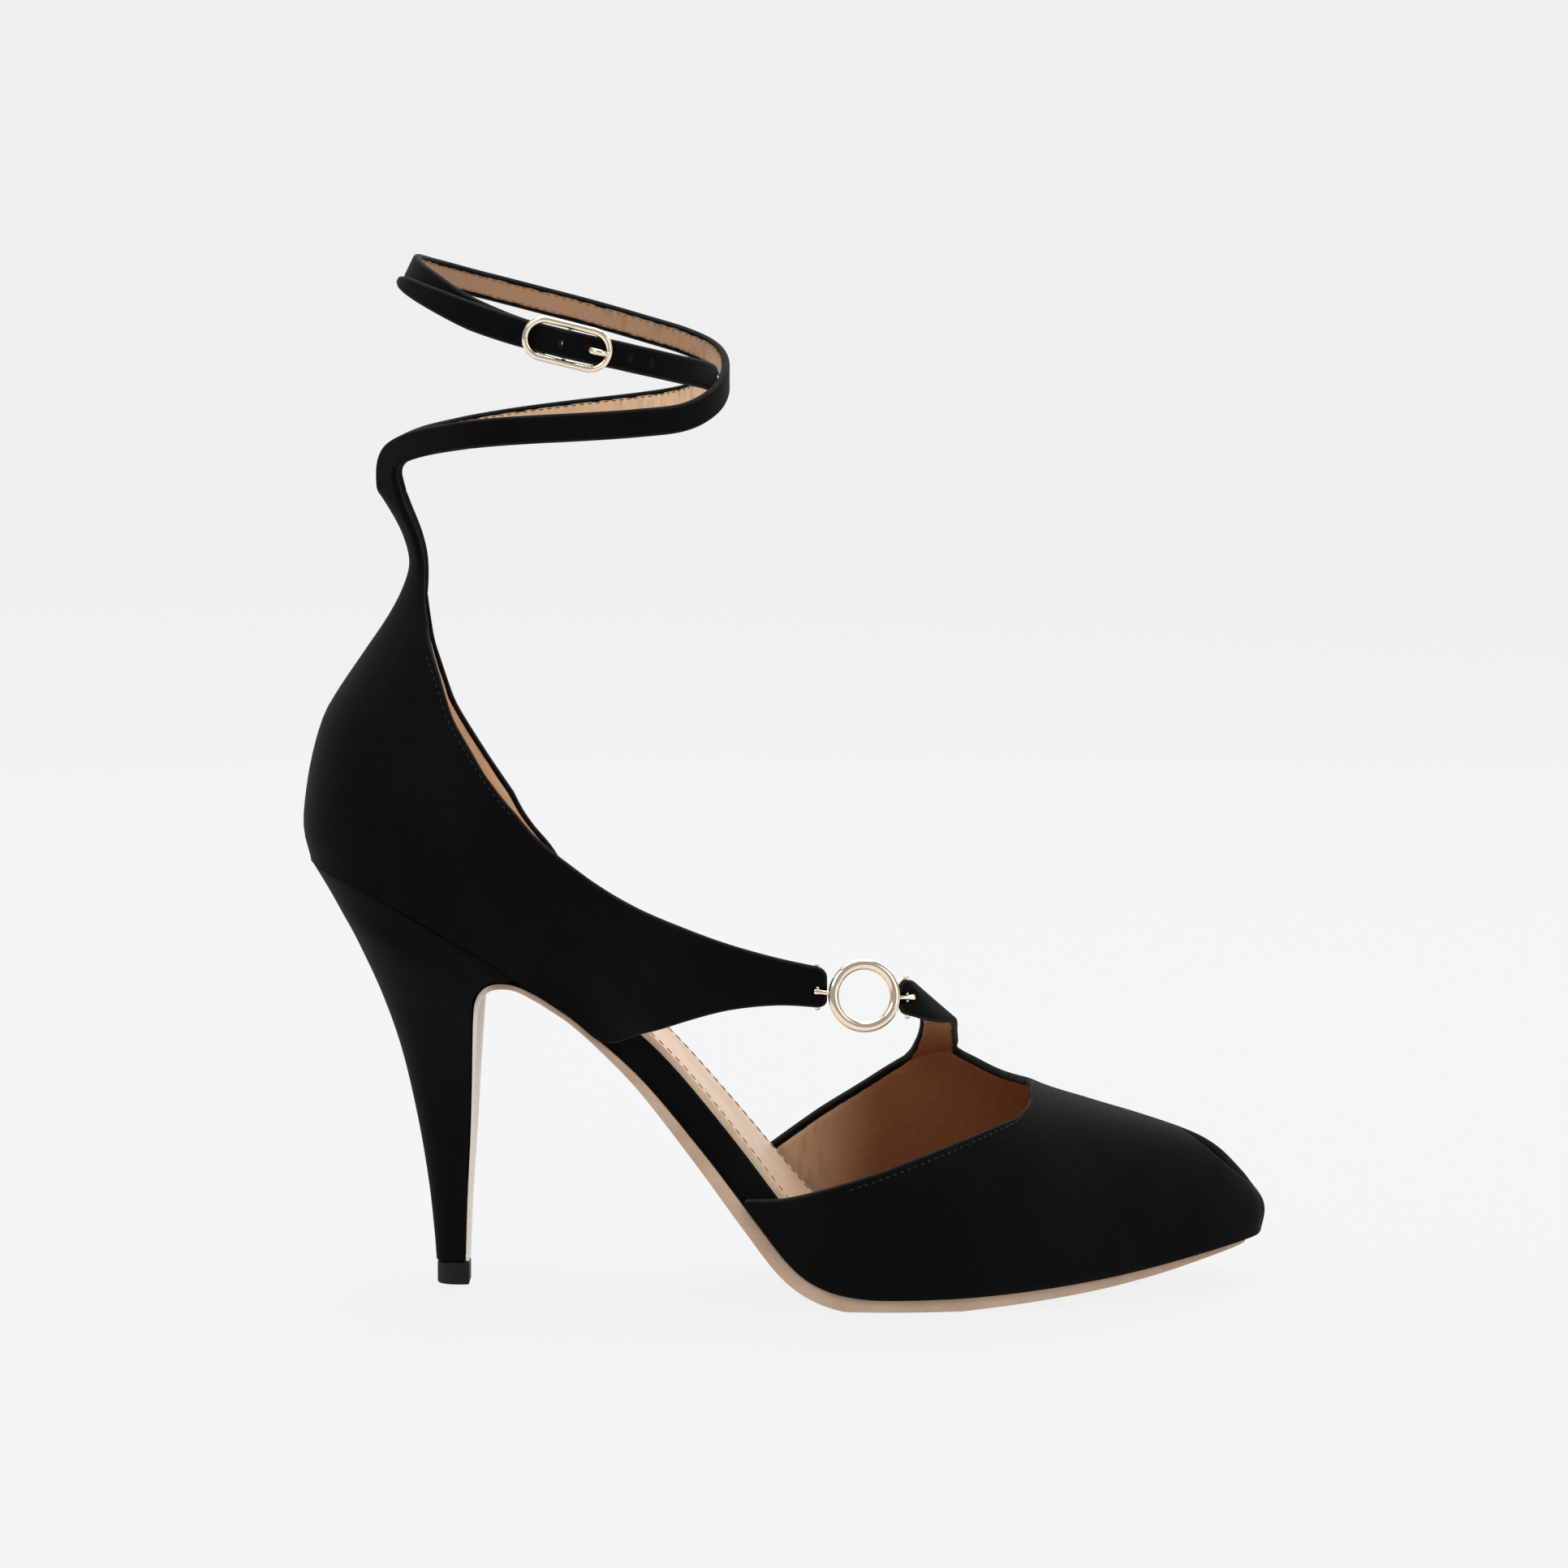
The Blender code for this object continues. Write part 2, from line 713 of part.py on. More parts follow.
def heel():
    """Covered heel from the tip to the seat."""
    columns = 16
    levels = 22
    mesh = bmesh.new()
    rings = []
    for k in range(levels + 1):
        rings.append([corner(mesh, p) for p in heel_ring((len(HEEL) - 1) * k / levels, columns)])
    grid_faces(mesh, rings)
    for outline in (rings[0], rings[-1]):
        for k in range(columns // 2):
            corners = (outline[k], outline[k + 1], outline[columns - k - 1], outline[columns - k])
            mesh.faces.new(list(dict.fromkeys(corners)))
    for outline, above in zip(rings, rings[1:]):
        mesh.faces.new((outline[0], outline[-1], above[-1], above[0]))
    place(mesh, "heel", "black_suede")


def top_piece():
    """Rubber tip under the heel, flat on the floor."""
    columns = 16
    depth = TOP_PIECE_FRONT - TOP_PIECE_BACK
    length = depth * TOP_PIECE_ROUND
    reach = turn_for(depth / length)
    mesh = bmesh.new()
    rings = []
    for z in (0.0, TOP_PIECE_HEIGHT):
        outline = []
        for k in range(columns + 1):
            p = reach * (1.0 - 2.0 * k / columns)
            along, side = around(p)
            y = -TOP_PIECE_HALF * side if p > 0.0 else TOP_PIECE_HALF * side
            outline.append(corner(mesh, (TOP_PIECE_BACK + length * along, y, z)))
        rings.append(outline)
    grid_faces(mesh, rings)
    mesh.faces.new(rings[0])
    mesh.faces.new(rings[1])
    mesh.faces.new((rings[0][0], rings[0][-1], rings[1][-1], rings[1][0]))
    place(mesh, "top_piece", "black_rubber")


# Vamp

FIRST_RIDGE = len(SOLE) - len(RIDGE)


def section(t, side, angle):
    """Point of the forefoot surface at a row position and an angle up the side."""
    foot = spline(SOLE, t)
    ridge = spline(RIDGE, t - FIRST_RIDGE)
    rim = side * foot[2 if side < 0 else 3]
    rise = math.sin(angle) ** (2.0 / SECTION_POWER)
    run = max(math.cos(angle), 0.0) ** (2.0 / SECTION_POWER)
    swell = math.sin(2.0 * angle)
    nearness = max(0.0, 1.0 - abs(rim - ridge[1]) / TOE_BULGE_REACH)
    forward = TOE_BULGE * swell * math.cos(angle) ** 2 * nearness
    x = foot[0] + (ridge[0] - foot[0]) * rise + forward
    y = ridge[1] + (rim - ridge[1]) * (run + SECTION_BULGE * swell)
    z = foot[1] + (ridge[2] - foot[1]) * rise
    return (x, y, z)


def vamp_limit(t, side):
    """Angle at which the vamp ends on a side: its top edge, the instep line or the open toe."""
    foot = spline(SOLE, t)
    ridge = spline(RIDGE, t - FIRST_RIDGE)
    if foot[0] < THROAT_X:
        top = lookup(TOP_LATERAL_FINE if side < 0 else TOP_MEDIAL_FINE, foot[0])
        share = min(max((top - foot[1]) / (ridge[2] - foot[1]), 0.004), 1.0)
        return math.asin(share ** (SECTION_POWER / 2.0))
    if ridge[0] <= TOE_OPENING_BACK or ridge[0] >= TOE_OPENING_FRONT:
        return math.pi / 2.0
    along = (ridge[0] - TOE_OPENING_BACK) / (TOE_OPENING_FRONT - TOE_OPENING_BACK)
    widest = TOE_OPENING_HALF_LATERAL if side < 0 else TOE_OPENING_HALF_MEDIAL
    half = widest * math.sin(math.pi * along) ** TOE_OPENING_POWER
    rim = abs(side * foot[2 if side < 0 else 3] - ridge[1])
    share = min(half / max(rim, 0.01), 0.9)
    return math.acos(share ** (SECTION_POWER / 2.0))


def row_at(x):
    """Row position of the sole table at x."""
    low = 0.0
    high = len(SOLE) - 1.0
    for _ in range(48):
        middle = (low + high) / 2.0
        if spline(SOLE, middle)[0] < x:
            low = middle
        else:
            high = middle
    return (low + high) / 2.0


def vamp():
    """Front of the upper with its open toe, and the instep strap that rises from its inner side."""
    tab_columns = 4
    columns = 7
    marks = [row_at(x) for x in (-8.4, -5.0, 0.0, 5.0, 10.0, 15.0, 20.0, 24.0)]
    tab_rows = [row_at(TAB_BACK + (TAB_FRONT - TAB_BACK) * k / tab_columns) for k in range(tab_columns + 1)]
    marks += tab_rows
    marks += [row_at(x) for x in (42.0, 45.5, 48.5, 50.5, 52.0, 53.2, 54.0, 58.0, 63.0, 68.0, 73.0, 78.0)]
    front = row_at(78.0)
    steps = 13
    marks += [front + (len(SOLE) - 1.0 - front) * k / steps for k in range(1, steps + 1)]
    patches = []
    for side in (-1.0, 1.0):
        patch = []
        for t in marks:
            limit = vamp_limit(t, side)
            patch.append([section(t, side, limit * k / columns) for k in range(columns + 1)])
        patches.append(patch)
    strap = [[section(t, 1.0, vamp_limit(t, 1.0)) for t in tab_rows]]
    base = strap[0]
    first = np.array(tuple(base[0]) + tuple(base[-1]))
    rows = np.vstack([first, np.array(INSTEP)])
    for k in range(2, 2 * (len(rows) - 1) + 1):
        values = spline(rows, k / 2.0)
        back = values[:3]
        ahead = values[3:]
        strap.append([tuple(back + (ahead - back) * c / tab_columns) for c in range(tab_columns + 1)])
    patches.append(strap)

    def inside(point):
        return (point.x * 0.9, 3.0, 12.0 + max(0.0, 30.0 - point.x) * 0.5)

    shell("vamp", "black_suede", patches, inside, WALL)


# Quarter


def back_length(z):
    """Length of the rounded back at a height."""
    share = min(max((z - BACK_LENGTH_FROM) / BACK_LENGTH_OVER, 0.0), 1.0)
    return BACK_LENGTH_LOW + (BACK_LENGTH_HIGH - BACK_LENGTH_LOW) * share


def quarter_point(p, z, side):
    """Point of the quarter at a turn around the back and a height."""
    along, width = around(p)
    x = lookup(BACK_FINE, z) + back_length(z) * along
    held = min(max(x, SEAT_WIDEST_X), SEAT_NARROWEST_X)
    column = 2 if side < 0 else 3
    base = float(np.interp(held, SOLE_FINE[:, 0], SOLE_FINE[:, column]))
    lift = min(max((z - sole_height(x)) / FLARE_HEIGHT, 0.0), 1.0)
    flare = lookup(FLARE_FINE, x) * lift * lift * (3.0 - 2.0 * lift)
    return (x, side * (base + flare) * lookup(NARROW_FINE, z) * width, z)


def quarter_turn(x, z):
    """Turn around the back at a side point."""
    return turn_for(max((x - lookup(BACK_FINE, z)) / back_length(z), 0.0))


def stem_row(t, columns):
    """Points across the stem at a row position of its table, from the outer edge to the inner one."""
    z, lateral, medial = spline(STEM, t)
    points = []
    for k in range(columns + 1):
        f = 1.0 - 2.0 * k / columns
        side, front = (-1.0, lateral) if f > 0.0 else (1.0, medial)
        points.append(quarter_point(quarter_turn(front, z) * abs(f), z, side))
    return points


def quarter():
    """Back of the upper: heel cup, stem, and the outer strap to the ring."""
    rows = 11
    stem_columns = 8
    stem_rows = 10
    columns = []
    for side, table in ((-1.0, QUARTER_LATERAL), (1.0, QUARTER_MEDIAL)):
        ribs = [(quarter_turn(a, b), b, quarter_turn(c, d), d) for a, b, c, d in table]
        part = []
        for k in range(2 * (len(ribs) - 1) + 1):
            low_p, low_z, up_p, up_z = spline(ribs, k / 2.0)
            part.append((side, low_p, low_z, up_p, up_z))
        columns.append(part)
    back = []
    for k in range(1, stem_columns):
        f = 1.0 - 2.0 * k / stem_columns
        side, _, _, up_p, up_z = columns[0][-1] if f > 0.0 else columns[1][-1]
        low_p = columns[0][-1][1] * abs(f)
        low_z = sole_height(lookup(BACK_FINE, BACK_SEAT_Z) + BACK_LENGTH_LOW * around(low_p)[0])
        back.append((side, low_p, low_z, up_p * abs(f), up_z))
    ordered = columns[0] + back + list(reversed(columns[1]))
    patch = []
    for side, low_p, low_z, up_p, up_z in ordered:
        line = []
        for k in range(rows + 1):
            f = k / rows
            line.append(quarter_point(low_p + (up_p - low_p) * f, low_z + (up_z - low_z) * f, side))
        patch.append(line)
    stem = [stem_row((len(STEM) - 1) * k / stem_rows, stem_columns) for k in range(stem_rows + 1)]

    def inside(point):
        return (max(point.x, -70.0), 0.0, point.z - 5.0)

    shell("quarter", "black_suede", [patch, stem], inside, WALL)


# Ankle strap


def ankle_strap(name, table, taper):
    """A flat strap around the ankle along rows of angle, reach and height."""
    steps = 3 * (len(table) - 1)
    path = []
    leans = []
    for k in range(steps + 1):
        angle, reach_x, reach_y, z, lean = spline(table, k / 3.0)
        turn = math.radians(angle)
        leans.append(math.radians(lean))
        path.append(np.array((ANKLE_X + reach_x * math.cos(turn), -reach_y * math.sin(turn), z)))
    under = []
    over = []
    for k, centre in enumerate(path):
        along = path[min(k + 1, steps)] - path[max(k - 1, 0)]
        along = along / np.linalg.norm(along)
        out = np.array((along[1], -along[0], 0.0))
        if np.dot(out, centre - np.array((ANKLE_X, 0.0, centre[2]))) < 0.0:
            out = -out
        if k < STRAP_BASE_STEPS:
            base = np.array((centre[0] - ANKLE_X, centre[1] * STRAP_BASE_TURN, 0.0))
            share = k / STRAP_BASE_STEPS
            out = out * share + base / np.linalg.norm(base) * (1.0 - share)
        out = out - along * np.dot(out, along)
        out = out / np.linalg.norm(out)
        wide = np.cross(out, along)
        rise = wide if wide[2] > 0.0 else -wide
        out = out * math.cos(leans[k]) + rise * math.sin(leans[k])
        wide = np.cross(out, along)
        half = STRAP_WIDTH / 2.0 * (1.0 + STRAP_BASE_WIDER * max(0.0, 1.0 - k / STRAP_BASE_STEPS))
        if taper and k > steps - STRAP_TIP_STEPS:
            half = half * (STRAP_TIP + (1.0 - STRAP_TIP) * (steps - k) / STRAP_TIP_STEPS)
        shift = wide * half
        lift = out * (STRAP / 2.0)
        under.append([tuple(centre - shift - lift), tuple(centre - lift), tuple(centre + shift - lift)])
        over.append([tuple(centre - shift + lift), tuple(centre + lift), tuple(centre + shift + lift)])
    slab(name, "black_suede", under, over)


# Metal fittings


def ring():
    """Plain ring between the outer strap and the instep strap, with a short pin on each side."""
    centre = np.array(RING_CENTRE)
    along = np.array(RING_ALONG) / np.linalg.norm(RING_ALONG)
    up = np.array(RING_UP)
    up = up - along * np.dot(up, along)
    up = up / np.linalg.norm(up)
    out = np.cross(along, up)
    count = 32
    body = bmesh.new()
    turns = [2.0 * math.pi * k / count for k in range(count)]
    points = [centre + RING_RADIUS * (math.cos(a) * along + math.sin(a) * up) for a in turns]
    tube(body, points, [out] * count, RING_TUBE, 8, True)
    pins = []
    for direction in (-1.0, 1.0):
        pin = bmesh.new()
        ends = [centre + direction * along * r for r in (RING_RADIUS, PIN_REACH)]
        slant = (out + SLANT * up) / np.linalg.norm(out + SLANT * up)
        tube(pin, ends, [slant, slant], PIN_RADIUS, 9, False)
        pins.append(pin)
    join("ring", "pale_gold", body, pins)


def buckle():
    """Oval buckle frame with a middle bar, and its prong."""
    centre = np.array(BUCKLE_CENTRE)
    slope = math.radians(BUCKLE_SLOPE)
    along = np.array((math.cos(slope), 0.0, -math.sin(slope)))
    up = np.array((math.sin(slope), 0.0, math.cos(slope)))
    out = np.array((0.0, -1.0, 0.0))
    straight = BUCKLE_HALF_LENGTH - BUCKLE_HALF_HEIGHT
    half_turn = 10
    points = []
    for start, sign in ((-90.0, 1.0), (90.0, -1.0)):
        for k in range(half_turn + 1):
            turn = math.radians(start + 180.0 * k / half_turn)
            run = sign * straight + BUCKLE_HALF_HEIGHT * math.cos(turn)
            points.append(centre + along * run + up * BUCKLE_HALF_HEIGHT * math.sin(turn))
    frame = bmesh.new()
    tube(frame, points, [out] * len(points), BUCKLE_TUBE, 10, True)
    bar = bmesh.new()
    ends = [centre - out * BAR_DROP + up * s * BUCKLE_HALF_HEIGHT for s in (-1.0, 1.0)]
    slant = (out + SLANT * along) / np.linalg.norm(out + SLANT * along)
    tube(bar, ends, [slant, slant], BAR_RADIUS, 9, False)
    join("buckle", "pale_gold", frame, [bar])
    prong = bmesh.new()
    tips = [centre + along * run + out * lift for run, lift in zip(PRONG_RUN, PRONG_LIFT)]
    tube(prong, tips, [out, out], PRONG_RADIUS, 10, False)
    place(prong, "buckle_prong", "pale_gold")


# Frame


def centre_on_floor():
    """Move everything so that the middle of the outline stands over the origin."""
    things = [o for o in bpy.data.objects if o.type == "MESH"]
    points = np.array([tuple(v.co) for o in things for v in o.data.vertices])
    middle = (points.min(axis=0) + points.max(axis=0)) / 2.0
    for thing in things:
        for vertex in thing.data.vertices:
            vertex.co.x -= middle[0]
            vertex.co.y -= middle[1]


def build():
    """All pieces of the shoe."""
    for thing in list(bpy.data.objects):
        bpy.data.objects.remove(thing, do_unlink=True)
    outsole()
    platform()
    insole()
    heel()
    top_piece()
    vamp()
    quarter()
    ankle_strap("ankle_strap_outer", STRAP_LATERAL, False)
    ankle_strap("ankle_strap_inner", STRAP_MEDIAL, True)
    ring()
    buckle()
    centre_on_floor()


build()
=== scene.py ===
"""Looks of a right-foot suede pump: lined upper, wrapped heel, crossed ankle strap and gilt fittings."""

import logging
import math
from collections.abc import Callable, Sequence
from dataclasses import dataclass
from enum import Enum
from functools import cached_property
from typing import Any

import bmesh
import bpy
import numpy as np
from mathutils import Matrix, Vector, kdtree


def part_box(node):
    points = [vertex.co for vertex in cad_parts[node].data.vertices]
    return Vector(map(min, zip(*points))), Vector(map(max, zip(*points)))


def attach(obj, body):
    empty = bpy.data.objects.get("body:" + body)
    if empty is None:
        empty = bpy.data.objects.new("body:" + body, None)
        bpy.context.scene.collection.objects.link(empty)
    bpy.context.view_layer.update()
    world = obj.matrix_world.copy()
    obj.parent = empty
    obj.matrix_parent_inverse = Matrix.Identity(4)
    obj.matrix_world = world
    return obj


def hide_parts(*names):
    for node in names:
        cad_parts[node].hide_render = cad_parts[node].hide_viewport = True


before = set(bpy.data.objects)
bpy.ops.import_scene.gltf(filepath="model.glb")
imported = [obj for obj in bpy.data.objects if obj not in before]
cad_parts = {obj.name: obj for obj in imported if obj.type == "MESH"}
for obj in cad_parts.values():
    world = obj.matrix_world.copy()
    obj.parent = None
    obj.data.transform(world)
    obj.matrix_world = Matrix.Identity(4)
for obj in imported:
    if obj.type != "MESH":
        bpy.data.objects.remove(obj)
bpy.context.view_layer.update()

LOG = logging.getLogger("pump")

MM = 0.001
BODY = "root"

# Distances of the close points at a rolled edge, in millimetres
EDGE_STEPS = (0.0, 0.08, 0.24, 0.48, 0.85, 1.3, 1.8, 2.4)

# Largest share of a line that its close points take, and how round a rolled edge is
CLOSE_SHARE = 0.8
ROLL = 0.97

# Points that round to the same number of these steps in a millimetre, past an offset, are one point
WELD_STEPS = 1000.0
WELD_OFFSET = 0.37

# Limits of a cut's place along an edge, and the least distance of a point from a scored line
CUT_LIMITS = (0.02, 0.98)
SCORE_LEAST = 1e-5

# Faces around metal tubes, lugs and bars
TUBE_SIDES, LUG_SIDES, BAR_SIDES = 20, 16, 14

Array = np.ndarray
Pair = tuple[float, float]
Colour = Point = tuple[float, float, float]
Rows = tuple[tuple[float, ...], ...]
Faces = list[tuple[int, ...]]
Shape = tuple[Array, Faces]
Law = Callable[[float], float]
Field = Callable[[Array], Array]


class Side(Enum):
    """Side of the foot, with its sign across the shoe."""

    OUTER = -1.0
    INNER = 1.0

    @property
    def column(self) -> int:
        """Column of the sole table that holds this side's reach."""
        return 2 if self is Side.OUTER else 3


class Slot(Enum):
    """Material slots of the part's record."""

    SUEDE = "black_suede"
    LINING = "tan_leather"
    SOLE = "sole_leather"
    RUBBER = "black_rubber"
    METAL = "pale_gold"


# Curves


@dataclass(frozen=True)
class Table:
    """Rows of numbers joined by a smooth curve."""

    rows: Rows
    steps: int = 16

    @property
    def last(self) -> float:
        """Row position of the last row."""
        return float(len(self.rows) - 1)

    @cached_property
    def array(self) -> Array:
        """The rows as an array."""
        return np.asarray(self.rows, dtype=float)

    @cached_property
    def samples(self) -> Array:
        """The curve sampled finely from the first row to the last."""
        return np.array([self.at(k / self.steps) for k in range(int(self.last) * self.steps + 1)])

    def at(self, t: float) -> Array:
        """Catmull-Rom value of the curve.

        Args:
            t: Row position, where 0 is the first row.

        Returns:
            One number for each column.
        """
        table, end = self.array, len(self.rows) - 1
        i = min(max(int(math.floor(t)), 0), end - 1)
        f = t - i
        b, c = table[i], table[i + 1]
        a = table[i - 1] if i > 0 else 2.0 * b - c
        d = table[i + 2] if i + 2 <= end else 2.0 * c - b
        return 0.5 * (2.0 * b + (c - a) * f + (2.0 * a - 5.0 * b + 4.0 * c - d) * f * f
                      + (3.0 * b - a - 3.0 * c + d) * f ** 3)

    def look(self, x: Any, column: int = 1) -> Any:
        """Value of a column where the first column has a value or an array of values."""
        return np.interp(x, self.samples[:, 0], self.samples[:, column])


def clamp(x: float, low: float = 0.0, high: float = 1.0) -> float:
    """A number held between two limits."""
    return min(max(x, low), high)


def blend(first: Any, second: Any, share: Any) -> Any:
    """Value at a share of the way from one value to another."""
    return first + (second - first) * share


def ease(low: float, high: float, x: Any) -> Array:
    """Smooth step from 0 at low to 1 at high."""
    f = np.clip((np.asarray(x, dtype=float) - low) / (high - low), 0.0, 1.0)
    return f * f * (3.0 - 2.0 * f)


def unit(vector: Sequence[float]) -> Array:
    """The vector at length one."""
    array = np.asarray(vector, dtype=float)
    return array / np.linalg.norm(array)


def lengths(points: Array) -> Array:
    """Length run along a line at each of its points."""
    return np.concatenate([[0.0], np.cumsum(np.linalg.norm(np.diff(points, axis=0), axis=1))])


def end_inset(radius: float, left: float) -> float:
    """How far a rounded end draws a strap's edge in where some length is left."""
    return radius - math.sqrt(radius ** 2 - (radius - left) ** 2) if left < radius else 0.0


def spaced(length: float, near: Sequence[float], count: int, both: bool) -> Array:
    """Places along a line, close together at its end.

    Args:
        length: Length of the line.
        near: Distances from the end.
        count: Number of even steps over the rest.
        both: Whether the start has the close places too.

    Returns:
        Rising shares of the length from 0 to 1.
    """
    close = np.asarray(near, dtype=float)
    reach = close[-1] * (2.0 if both else 1.0)
    close = close * min(1.0, CLOSE_SHARE * length / reach) / length
    start = close if both else np.array([0.0])
    rest = np.linspace(start[-1], 1.0 - close[-1], count + 1)
    return np.concatenate([start[:-1], rest, (1.0 - close[::-1])[1:]])


@dataclass(frozen=True)
class SoleLine:
    """The line where the upper meets the sole, in the maker's millimetres.

    Rows hold x, the height of the upper's lower edge, and the reach to the outer and inner side.
    """

    rows: Table = Table((
        (-102.2, 92.8, 0, 0), (-101.4, 92.6, 6.2, 6.2), (-98.6, 91.7, 12.8, 12.6), (-93, 89.7, 19.3, 18.9),
        (-85, 86, 23.8, 23.2), (-76, 80.9, 25.4, 24.8), (-66, 75.1, 24.6, 24), (-56.3, 68.4, 23.2, 22),
        (-46, 61.4, 22, 20), (-38, 54.8, 21.4, 18.8), (-28.8, 46, 22, 18.4), (-16.6, 31.7, 25.6, 20.6),
        (-6.2, 18.6, 30, 24.4), (1.5, 9.3, 33.2, 28.2), (8, 5, 35.2, 31.2), (16, 3.1, 36.6, 34),
        (26, 2.8, 36.8, 36), (40, 3.1, 35, 36.6), (54, 4, 31.2, 34.8), (68, 5.3, 25.4, 31),
        (80, 6.8, 18.6, 26), (90.5, 8.4, 11.6, 20.4), (98.6, 9.6, 4.8, 14.4), (102.9, 10.2, -0.4, 9.8),
        (104.3, 10.4, -5, 5),
    ))
    slope_step: float = 0.8
    slope_from: float = -100.0
    slope_to: float = 102.0
    row_step: float = 0.05
    halvings: int = 40

    def height(self, x: Any) -> Any:
        """Height of the upper's lower edge at x."""
        return self.rows.look(x)

    def clearance(self, points: Array) -> Array:
        """Heights of points above the upper's lower edge."""
        return points[:, 2] - self.height(points[:, 0])

    def lifted(self, x: float, distance: float) -> Pair:
        """Point square to the line, above it if the distance is positive.

        Args:
            x: Place along the line.
            distance: Distance from the line.

        Returns:
            The point's x and z.
        """
        held, step = clamp(x, self.slope_from, self.slope_to), self.slope_step
        slope = (self.height(held + step) - self.height(held - step)) / (2.0 * step)
        length = math.hypot(slope, 1.0)
        return x - slope * distance / length, self.height(x) + distance / length

    def edge(self, t: float, side: Side, inset: float) -> Pair:
        """Plan point of the sole's edge.

        Args:
            t: Row position along the sole.
            side: Side of the foot.
            inset: Distance inwards from the edge.

        Returns:
            The point's x and y.
        """
        here, sign, last = self.rows.at(t), side.value, self.rows.last
        x, y = here[0], sign * here[side.column]
        if t <= 0.0 or t >= last:
            return (x + inset if t <= 0.0 else x - inset), y
        step = self.rows.at(min(t + self.row_step, last)) - self.rows.at(max(t - self.row_step, 0.0))
        dx, dy = step[0], sign * step[side.column]
        length = math.hypot(dx, dy)
        return x + inset * sign * dy / length, y - inset * sign * dx / length

    def row_at(self, x: float) -> float:
        """Row position of a place.

        Args:
            x: The place along the sole.

        Returns:
            The row position.
        """
        low, high = 0.0, self.rows.last
        for _ in range(self.halvings):
            middle = (low + high) / 2.0
            low, high = (middle, high) if self.rows.at(middle)[0] < x else (low, middle)
        return (low + high) / 2.0


# Surfaces


@dataclass
class Patch:
    """A grid of points with named values at each point."""

    grid: Array
    values: dict[str, Array]


@dataclass
class Sheet:
    """A triangulated surface with named values at its points."""

    points: Array
    faces: Array
    values: dict[str, Array]

    @classmethod
    def joined(cls, patches: Sequence[Patch], names: Sequence[str]) -> "Sheet":
        """Patches sewn together where their points meet.

        Args:
            patches: Grids to join.
            names: Values to carry, taken as 0 where a patch lacks one.

        Returns:
            The joined surface.
        """
        faces: list[Array] = []
        start = 0
        for patch in patches:
            shape = patch.grid.shape[:2]
            n = start + np.arange(shape[0] * shape[1]).reshape(shape)
            a, b, c, d = (part.ravel() for part in (n[:-1, :-1], n[:-1, 1:], n[1:, 1:], n[1:, :-1]))
            faces += [np.stack((a, b, c), axis=1), np.stack((a, c, d), axis=1)]
            start += n.size
        values = {name: np.concatenate([patch.values.get(name, np.zeros(patch.grid.shape[:2])).ravel()
                                        for patch in patches]) for name in names}
        points = np.concatenate([patch.grid.reshape(-1, 3) for patch in patches])
        return cls(points, np.concatenate(faces), values).welded()

    def welded(self) -> "Sheet":
        """The surface with points that meet made one.

        Returns:
            The sewn surface.
        """
        keys = np.round(self.points * WELD_STEPS + WELD_OFFSET).astype(np.int64)
        _, first, inverse = np.unique(keys, axis=0, return_index=True, return_inverse=True)
        faces = inverse.reshape(-1)[self.faces]
        sound = np.all(faces != np.roll(faces, 1, axis=1), axis=1)
        return Sheet(self.points[first], faces[sound], {name: array[first] for name, array in self.values.items()})

    def faced(self, inside: Field) -> "Sheet":
        """The surface with every face turned outwards.

        Args:
            inside: Gives a point inside the piece for each face's middle.

        Returns:
            The turned surface.
        """
        mesh = bmesh.new()
        corners = [mesh.verts.new(p) for p in self.points]
        for a, b, c in self.faces:
            mesh.faces.new((corners[a], corners[b], corners[c]))
        mesh.verts.index_update()
        bmesh.ops.recalc_face_normals(mesh, faces=mesh.faces)
        faces = np.array([[v.index for v in face.verts] for face in mesh.faces])
        mesh.free()
        turned = Sheet(self.points, faces, self.values)
        middles = self.points[faces].mean(axis=1)
        if np.sum(turned.face_normals * (middles - inside(middles))) < 0.0:
            turned.faces = faces[:, ::-1].copy()
        return turned

    @property
    def face_normals(self) -> Array:
        """Face normals, as long as twice each face's area."""
        a, b, c = (self.points[self.faces[:, k]] for k in range(3))
        return np.cross(b - a, c - a)

    @property
    def normals(self) -> Array:
        """Point normals at length one."""
        summed, normals = np.zeros_like(self.points), self.face_normals
        for k in range(3):
            np.add.at(summed, self.faces[:, k], normals)
        return summed / np.maximum(np.linalg.norm(summed, axis=1, keepdims=True), 1e-12)

    @property
    def edges(self) -> Array:
        """Edges of every face in its order."""
        return np.concatenate([self.faces[:, (0, 1)], self.faces[:, (1, 2)], self.faces[:, (2, 0)]])

    @property
    def rim(self) -> Array:
        """Edges that belong to one face, in the order of that face."""
        edges = self.edges
        _, first, count = np.unique(np.sort(edges, axis=1), axis=0, return_index=True, return_counts=True)
        return edges[first[count == 1]]

    def relaxed(self, mask: Array, rounds: int) -> "Sheet":
        """The surface with some points drawn towards their neighbours.

        Args:
            mask: How far each point goes, from 0 to 1.
            rounds: How many times.

        Returns:
            The smoothed surface.
        """
        rim, edges = self.rim, self.edges
        on_rim = np.zeros(len(self.points), dtype=bool)
        on_rim[rim.ravel()] = True
        edges = np.concatenate([edges, edges[:, ::-1]])
        edges = np.concatenate([edges[~on_rim[edges[:, 0]]], rim, rim[:, ::-1]])
        count = np.bincount(edges[:, 0], minlength=len(self.points))[:, None]
        points = self.points.copy()
        for _ in range(rounds):
            total = np.zeros_like(points)
            np.add.at(total, edges[:, 0], points[edges[:, 1]])
            points += (total / np.maximum(count, 1) - points) * mask[:, None] * 0.5
        return Sheet(points, self.faces, self.values)

